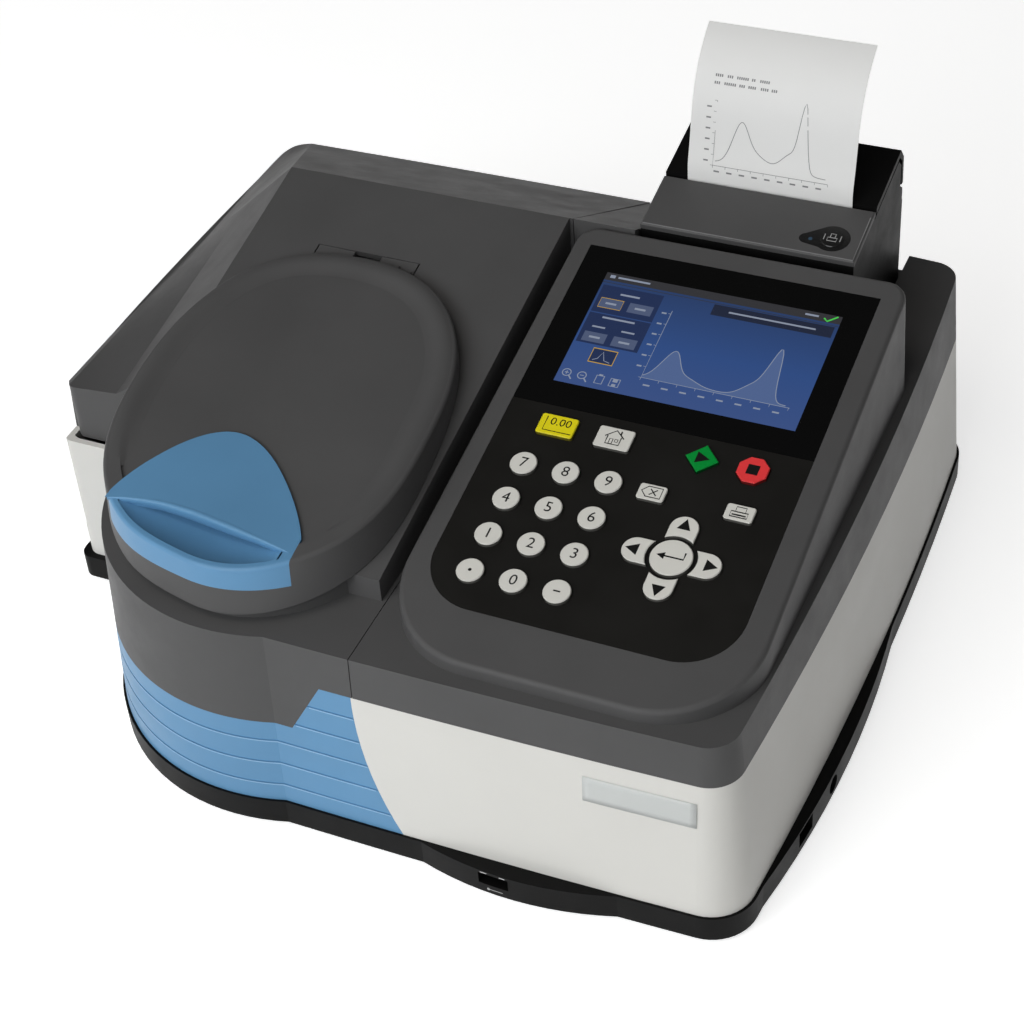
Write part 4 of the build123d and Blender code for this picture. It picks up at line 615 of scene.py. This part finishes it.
def lid_edge(inset):
    """The lid's outline in plan, drawn in by a distance from its top edge."""
    around = curve_through(LID_OUTLINE, OUTLINE_POINTS, True)
    reach = around - LID_MIDDLE
    narrow = (lid_height(around[:, 1]) - 103.4) * 0.0699
    size = 1 - (narrow + inset) / np.linalg.norm(reach, axis=1)
    return LID_MIDDLE + reach * size[:, None]


def grid_faces(across, along, closed=False):
    faces = []
    for j in range(along - 1):
        for i in range(across if closed else across - 1):
            k = (i + 1) % across
            faces.append((j * across + i, j * across + k, (j + 1) * across + k, (j + 1) * across + i))
    return faces


# The rim's section: distance in from the edge and height. It fades out where the handle lies
RIM = [(1.2, -0.25), (2.0, 0.05), (3.2, 0.42), (4.6, 0.60), (6.2, 0.55)]
RIM += [(7.8, 0.25), (9.4, -0.22), (11.0, -0.66), (12.6, -0.98), (14.4, -1.17)]
RIM_FADE = 12
HANDLE_FROM, HANDLE_TO, HANDLE_BACK = -112.5, -1.5, -128
rings = [lid_edge(inset) for inset, _ in RIM]
kept = []
for i, (x, y) in enumerate(lid_edge(0)):
    if y >= HANDLE_BACK or not HANDLE_FROM <= x < HANDLE_TO:
        kept.append(i)
start = max(range(len(kept)), key=lambda n: (kept[n] - kept[n - 1]) % OUTLINE_POINTS)
kept = kept[start:] + kept[:start]
rim_points = []
for n, i in enumerate(kept):
    fade = min(n / RIM_FADE, (len(kept) - 1 - n) / RIM_FADE, 1.0)
    fade = fade * fade * (3 - 2 * fade)
    for (inset, h), edge in zip(RIM, rings):
        flat = -0.06 if inset < 8.2 else -1.26
        rim_points.append(lid_point(edge[i][0], edge[i][1], fade * h + (1 - fade) * min(flat, h)))
mesh_piece("lid_soft_rim", rim_points, grid_faces(len(RIM), len(kept)), COVER, "lid", True)

# The handle's back edge and the edge of its lip, in plan
ARC = curve_through([(-104, -139), (-94.5, -113), (-69, -90.3), (-35.5, -107.5), (-12.5, -136)], 200)
LIP_ENDS = [(-104, -139.6), (-97.5, -138.1), (-80, -136), (-47, -138.7), (-16.5, -143.5), (-12.5, -144.2)]
LIP = curve_through(LIP_ENDS, 200)


def arc_y(x):
    return float(np.interp(x, ARC[:, 0], ARC[:, 1]))


def lip_y(x):
    return float(np.interp(x, LIP[:, 0], LIP[:, 1]))


def swell(share):
    return math.sin(math.pi * min(max(share, 0.0), 1.0)) ** 0.7


HANDLE_LEFT, HANDLE_RIGHT = -103.6, -12.9
BOWL_LEFT, BOWL_RIGHT = -96.6, -17.4
LIP_SWELL = 1.5
ACROSS, CROWN_ROWS, BOWL_ROWS = 61, 25, 17

crown = []
for j in range(CROWN_ROWS):
    t = j / (CROWN_ROWS - 1)
    for i in range(ACROSS):
        u = i / (ACROSS - 1)
        x = HANDLE_LEFT + (HANDLE_RIGHT - HANDLE_LEFT) * u
        y = lip_y(x) + (arc_y(x) - lip_y(x)) * t
        crown.append(lid_point(x, y, 0.05 + LIP_SWELL * swell(u) * (1 - t) ** 1.6 - 0.12 * (t > 0.99)))
mesh_piece("handle_crown", crown, grid_faces(ACROSS, CROWN_ROWS), BLUE, "lid", True)

# The lip's section: distance out from its edge and height, over it and then back under it
LIP_SECTION = [(-1.6, -0.25), (-0.9, 0.02), (0.0, 0.16), (0.7, 0.05), (1.2, -0.4), (1.35, -1.1)]
LIP_UNDER = [(1.15, -2.6), (0.6, -3.4), (-0.1, -3.55), (-0.4, -1.4)]
lip_points = []
for i in range(ACROSS):
    u = i / (ACROSS - 1)
    x = HANDLE_LEFT + 1 + (HANDLE_RIGHT - HANDLE_LEFT - 2) * u
    slope = lip_y(x + 0.5) - lip_y(x - 0.5)
    size = math.hypot(slope, 1)
    ahead = (slope / size, -1 / size)
    thin = 0.25 + 0.75 * swell(u)
    section = [(a, b + LIP_SWELL * swell(u)) for a, b in LIP_SECTION]
    section += [(a, b * thin) for a, b in LIP_UNDER]
    for out, h in section:
        lip_points.append(lid_point(x + ahead[0] * out * thin, lip_y(x) + ahead[1] * out * thin, h))
around = len(LIP_SECTION) + len(LIP_UNDER)
lip_faces = grid_faces(around, ACROSS, True)
lip_faces += [tuple(range(around))[::-1], tuple(range((ACROSS - 1) * around, ACROSS * around))]
mesh_piece("handle_lip", lip_points, lip_faces, BLUE, "lid", True)

front_edge = np.array([p for p in lid_edge(2.7) if p[1] < -125])
front_edge = front_edge[np.argsort(front_edge[:, 0])]
bowl = []
for j in range(BOWL_ROWS):
    t = j / (BOWL_ROWS - 1)
    for i in range(ACROSS):
        u = i / (ACROSS - 1)
        x = BOWL_LEFT + (BOWL_RIGHT - BOWL_LEFT) * u
        low_y = float(np.interp(x, front_edge[:, 0], front_edge[:, 1]))
        high_y = lip_y(x) + 6.0 * swell(u)
        low_y = min(low_y, high_y - 0.2)
        y = low_y + (high_y - low_y) * t
        drop = 0.35 + 8.4 * swell(u) * (1 - (1 - t) ** 2.2)
        bowl.append(lid_point(x, y, -drop))
mesh_piece("handle_bowl", bowl, grid_faces(ACROSS, BOWL_ROWS), BLUE, "lid", True)

# Badge, painted highlights on the groove edges, chart and marks laid on curved pieces


def surface_of(name):
    mesh = nodes[name].data
    return BVHTree.FromPolygons([v.co for v in mesh.vertices], [tuple(p.vertices) for p in mesh.polygons])


def cast(tree, start, direction, lift):
    """Point where a ray meets a piece, lifted off it."""
    spot, normal, _, _ = tree.ray_cast(start, direction)
    if spot is None:
        return start
    if normal.dot(direction) > 0:
        normal = -normal
    return spot + normal * lift


BACKWARD = Vector((0, 1, 0))
AHEAD = 0.1

# Badge on the white front, measured from the right corner and from the bench
BADGE_LEFT, BADGE_WIDE = -64.5, 47.0
BADGE_LOW, BADGE_HIGH = 63.2, 12.6
wall = surface_of("wall_shell")
columns, rows = 16, 5
badge_points, badge_faces = [], []
for layer in (0.05, 0.55):
    for j in range(rows):
        for i in range(columns):
            x = RIGHT_X + (BADGE_LEFT + BADGE_WIDE * i / (columns - 1)) * MM
            z = (BADGE_LOW + BADGE_HIGH * j / (rows - 1)) * MM
            badge_points.append(cast(wall, Vector((x, FRONT_Y - AHEAD, z)), BACKWARD, layer * MM))
half = columns * rows
for j in range(rows - 1):
    for i in range(columns - 1):
        a = half + j * columns + i
        badge_faces.append([a, a + 1, a + columns + 1, a + columns])
edge = list(range(columns)) + [columns * (j + 1) - 1 for j in range(1, rows)]
edge += [half - 2 - i for i in range(columns - 1)] + [columns * (rows - 2 - j) for j in range(rows - 2)]
for i in range(len(edge)):
    a, b = edge[i], edge[(i + 1) % len(edge)]
    badge_faces.append([a, b, b + half, a + half])
mesh_piece("front_badge", badge_points, badge_faces, BADGE, "base", True)

# Painted highlight: lighter blue strips on the lower edges of the grooves in the blue front, where light
# catches them
BASE_HIGH, GROOVE_FIRST, GROOVE_PITCH, EDGE_DROP = 15, 9.3, 12.3, 0.45
GROOVES, GROOVE_POINTS, GROOVE_END = 5, 120, 0.8
blue = surface_of("blue_panel")
blue_low, blue_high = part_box("blue_panel")
for row in range(GROOVES):
    z = (BASE_HIGH + GROOVE_FIRST + GROOVE_PITCH * row - EDGE_DROP) * MM
    line = []
    for i in range(GROOVE_POINTS):
        reach = (blue_high.x - blue_low.x - 2 * GROOVE_END * MM) * i / (GROOVE_POINTS - 1)
        x = blue_low.x + GROOVE_END * MM + reach
        spot, normal, _, _ = blue.ray_cast(Vector((x, FRONT_Y - AHEAD, z)), BACKWARD)
        if spot is not None and normal.y < -0.12:
            line.append((spot, normal))
    points, faces = [], []
    for spot, normal in line:
        for rise in (-0.28, 0.28):
            points.append(spot + normal * 0.06 * MM + Vector((0, 0, rise * MM)))
    for i in range(len(line) - 1):
        if (line[i + 1][0] - line[i][0]).length < 12 * MM:
            faces.append((2 * i, 2 * i + 2, 2 * i + 3, 2 * i + 1))
    mesh_piece(f"groove_painted_highlight_{row}", points, faces, GROOVE_HIGHLIGHT_PAINT, "base", True)

# Chart printed on the paper
paper = surface_of("paper_strip")
paper_low, paper_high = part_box("paper_strip")
paper_mid = (paper_low.x + paper_high.x) / 2
SLOT_V, PATH_STEPS = 129.6, 60
slot_y, slot_z = PANEL_Y + SLOT_V * COSINE * MM, PANEL_Z + SLOT_V * SINE * MM
path = []
for i in range(PATH_STEPS + 1):
    z = slot_z + 2 * MM + (paper_high.z - slot_z - 2.5 * MM) * i / PATH_STEPS
    path.append(cast(paper, Vector((paper_mid, slot_y - 0.06, z)), BACKWARD, 0.06 * MM))
lengths = [0.0]
for a, b in zip(path[:-1], path[1:]):
    lengths.append(lengths[-1] + (b - a).length / MM)


def on_paper(across, along):
    """Point on the front of the paper, across from its middle and along from the slot, in millimetres."""
    along = max(0.0, min(along, lengths[-1]))
    i = int(np.searchsorted(lengths, along, side="right")) - 1
    i = min(max(i, 0), len(path) - 2)
    share = (along - lengths[i]) / (lengths[i + 1] - lengths[i])
    spot = path[i].lerp(path[i + 1], share)
    return Vector((paper_mid + across * MM, spot.y, spot.z))


def print_curve(x):
    broad = 17.0 * math.exp(-(((x + 15) / 5.0) ** 2)) + 6.0 * math.exp(-(((x + 8) / 8.0) ** 2))
    tall = 27.0 * math.exp(-(((x - 14) / 2.6) ** 2)) + 9.0 * math.exp(-(((x - 9.5) / 6.5) ** 2))
    return 8.0 + broad + tall


marks = strip([(-27, 36), (-27, 6), (27, 6)], 0.25)
marks += strip([(-26 + 0.7 * i, print_curve(-26 + 0.7 * i)) for i in range(75)], 0.3)
marks += [box(-27 + 6 * i - 0.1, 4.8, -27 + 6 * i + 0.1, 6) for i in range(10)]
marks += [box(-28.2, 6 + 5 * i - 0.1, -27, 6 + 5 * i + 0.1) for i in range(7)]
marks += [box(-26.4 + 6 * i, 2.9, -23.8 + 6 * i, 3.7) for i in range(9)]
marks += [box(-31.6, 7.6 + 5 * i, -29.4, 8.3 + 5 * i) for i in range(6)]
line_ends = [(46.5, (4.2, 3.0, 5.5, 2.4, 4.8)), (43.2, (3.2, 5.6, 2.8, 4.4, 3.6, 3.0))]
for height, words in line_ends:
    start = -29.5
    for word in words:
        count = max(2, int(word / 0.9))
        for i in range(count):
            marks.append(box(start + i * 0.95, height, start + i * 0.95 + 0.62, height + 1.2))
        start += word + 1.4
lay("paper_chart", marks, on_paper, PAPER_INK, "base")

# Metal lip and mark at the front socket
tray = surface_of("base_tray")


def on_base(across, up):
    """Point on the front of the base, from the right corner and above the bench, in millimetres."""
    start = Vector((RIGHT_X + across * MM, FRONT_Y - AHEAD, up * MM))
    return cast(tray, start, BACKWARD, 0.08 * MM)


lay("socket_lip", strip([(-108.3, 14.1), (-97.0, 14.1)], 0.5), on_base, STEEL, "base")
fork = strip([(-104.6, 5.0), (-98.4, 5.0)], 0.35) + [disc(-104.9, 5.0, 0.7, 14)]
lay("socket_mark", fork, on_base, MARK, "base")

# Camera, floor and light
CAMERA_FROM = Vector((RIGHT_X, FRONT_Y, BASE_HIGH * MM))
CAMERA_REACH = Vector((0.1930, -0.5431, 0.6973))
CAMERA_TURN = Vector((2.238, 0.441, -0.294))
FOCAL_PIXELS, PICTURE_PIXELS, SENSOR_WIDE = 2230.4, 1024, 36.0
world_to_camera = Matrix.Rotation(CAMERA_TURN.length, 3, CAMERA_TURN.normalized())
camera_to_world = world_to_camera.transposed() @ Matrix.Diagonal((1, -1, -1))
camera_data = bpy.data.cameras.new("camera")
camera = placed("camera", camera_data)
camera.matrix_world = Matrix.Translation(CAMERA_FROM + CAMERA_REACH) @ camera_to_world.to_4x4()
camera_data.sensor_width = SENSOR_WIDE
camera_data.lens = FOCAL_PIXELS / PICTURE_PIXELS * SENSOR_WIDE
camera_data.clip_start = 0.01
bpy.context.scene.camera = camera

# The floor looks lighter to the camera and in reflections than the light on it makes it
FLOOR_LIFT = 0.66
floor_material, tree, shader = base_tree("floor_paper")
place = tree.nodes.new("ShaderNodeTexCoord")
cloud = noise(tree, place, 3.0, 2.0)
tint = ramp(tree, cloud.outputs["Fac"], [(0.3, (0.84, 0.84, 0.84)), (0.7, (0.86, 0.86, 0.86))])
tree.links.new(tint.outputs["Color"], shader.inputs["Base Color"])
shader.inputs["Roughness"].default_value = 0.8
shader.inputs["Specular IOR Level"].default_value = 0.1
paths = tree.nodes.new("ShaderNodeLightPath")
seen = tree.nodes.new("ShaderNodeMath")
seen.operation = "MAXIMUM"
tree.links.new(paths.outputs["Is Camera Ray"], seen.inputs[0])
tree.links.new(paths.outputs["Is Glossy Ray"], seen.inputs[1])
gain = tree.nodes.new("ShaderNodeMath")
gain.operation = "MULTIPLY"
gain.inputs[1].default_value = FLOOR_LIFT
tree.links.new(seen.outputs[0], gain.inputs[0])
lift = tree.nodes.new("ShaderNodeEmission")
lift.inputs["Color"].default_value = (1, 1, 1, 1)
tree.links.new(gain.outputs[0], lift.inputs["Strength"])
both = tree.nodes.new("ShaderNodeAddShader")
tree.links.new(shader.outputs[0], both.inputs[0])
tree.links.new(lift.outputs[0], both.inputs[1])
tree.links.new(both.outputs[0], tree.nodes["Material Output"].inputs["Surface"])
floor_mesh = bpy.data.meshes.new("floor")
floor_mesh.from_pydata([(x, y, 0) for x, y in box(-4, -4, 4, 4)], [], [(0, 1, 2, 3)])
floor_mesh.materials.append(floor_material)
floor = placed("floor", floor_mesh)


def lamp(name, place, size, power, colour=(1, 1, 1)):
    """Soft light that points at the middle of the part."""
    data = bpy.data.lights.new(name, "AREA")
    data.shape = "RECTANGLE"
    data.size, data.size_y = size
    data.energy = power
    data.color = colour
    obj = placed(name, data)
    obj.location = place
    obj.rotation_euler = (Vector((0, 0, 0.06)) - Vector(place)).to_track_quat("-Z", "Y").to_euler()


lamp("front_light", (-0.35, -1.5, 0.95), (1.5, 0.9), 17.0, (0.96, 0.985, 1.0))
lamp("high_light", (-0.2, -0.75, 1.7), (1.2, 0.7), 6.5, (1.0, 0.96, 0.91))
lamp("left_light", (-1.7, -0.6, 0.7), (1.0, 1.0), 2.0)

# Sky: darker overhead and behind, and white to the camera
world = bpy.data.worlds.new("world")
world.use_nodes = True
tree = world.node_tree
way = tree.nodes.new("ShaderNodeTexCoord")
split = tree.nodes.new("ShaderNodeSeparateXYZ")
tree.links.new(way.outputs["Generated"], split.inputs["Vector"])
SKY_RISE = [(0.0, grey(0.62)), (0.22, grey(0.62)), (0.5, grey(0.28)), (0.9, grey(0.17))]
sky = ramp(tree, split.outputs["Z"], SKY_RISE)
side = ramp(tree, split.outputs["Y"], [(0.0, grey(1.0)), (0.55, grey(0.45))])
dim = tree.nodes.new("ShaderNodeMix")
dim.data_type = "RGBA"
dim.blend_type = "MULTIPLY"
dim.inputs["Factor"].default_value = 1.0
tree.links.new(sky.outputs["Color"], dim.inputs["A"])
tree.links.new(side.outputs["Color"], dim.inputs["B"])
paths = tree.nodes.new("ShaderNodeLightPath")
pale = tree.nodes.new("ShaderNodeMix")
pale.data_type = "RGBA"
pale.inputs["B"].default_value = (1.6, 1.6, 1.6, 1)
tree.links.new(paths.outputs["Is Camera Ray"], pale.inputs["Factor"])
tree.links.new(dim.outputs["Result"], pale.inputs["A"])
tree.links.new(pale.outputs["Result"], tree.nodes["Background"].inputs["Color"])
tree.nodes["Background"].inputs["Strength"].default_value = 0.62
bpy.context.scene.world = world
bpy.context.scene.view_settings.view_transform = "Standard"
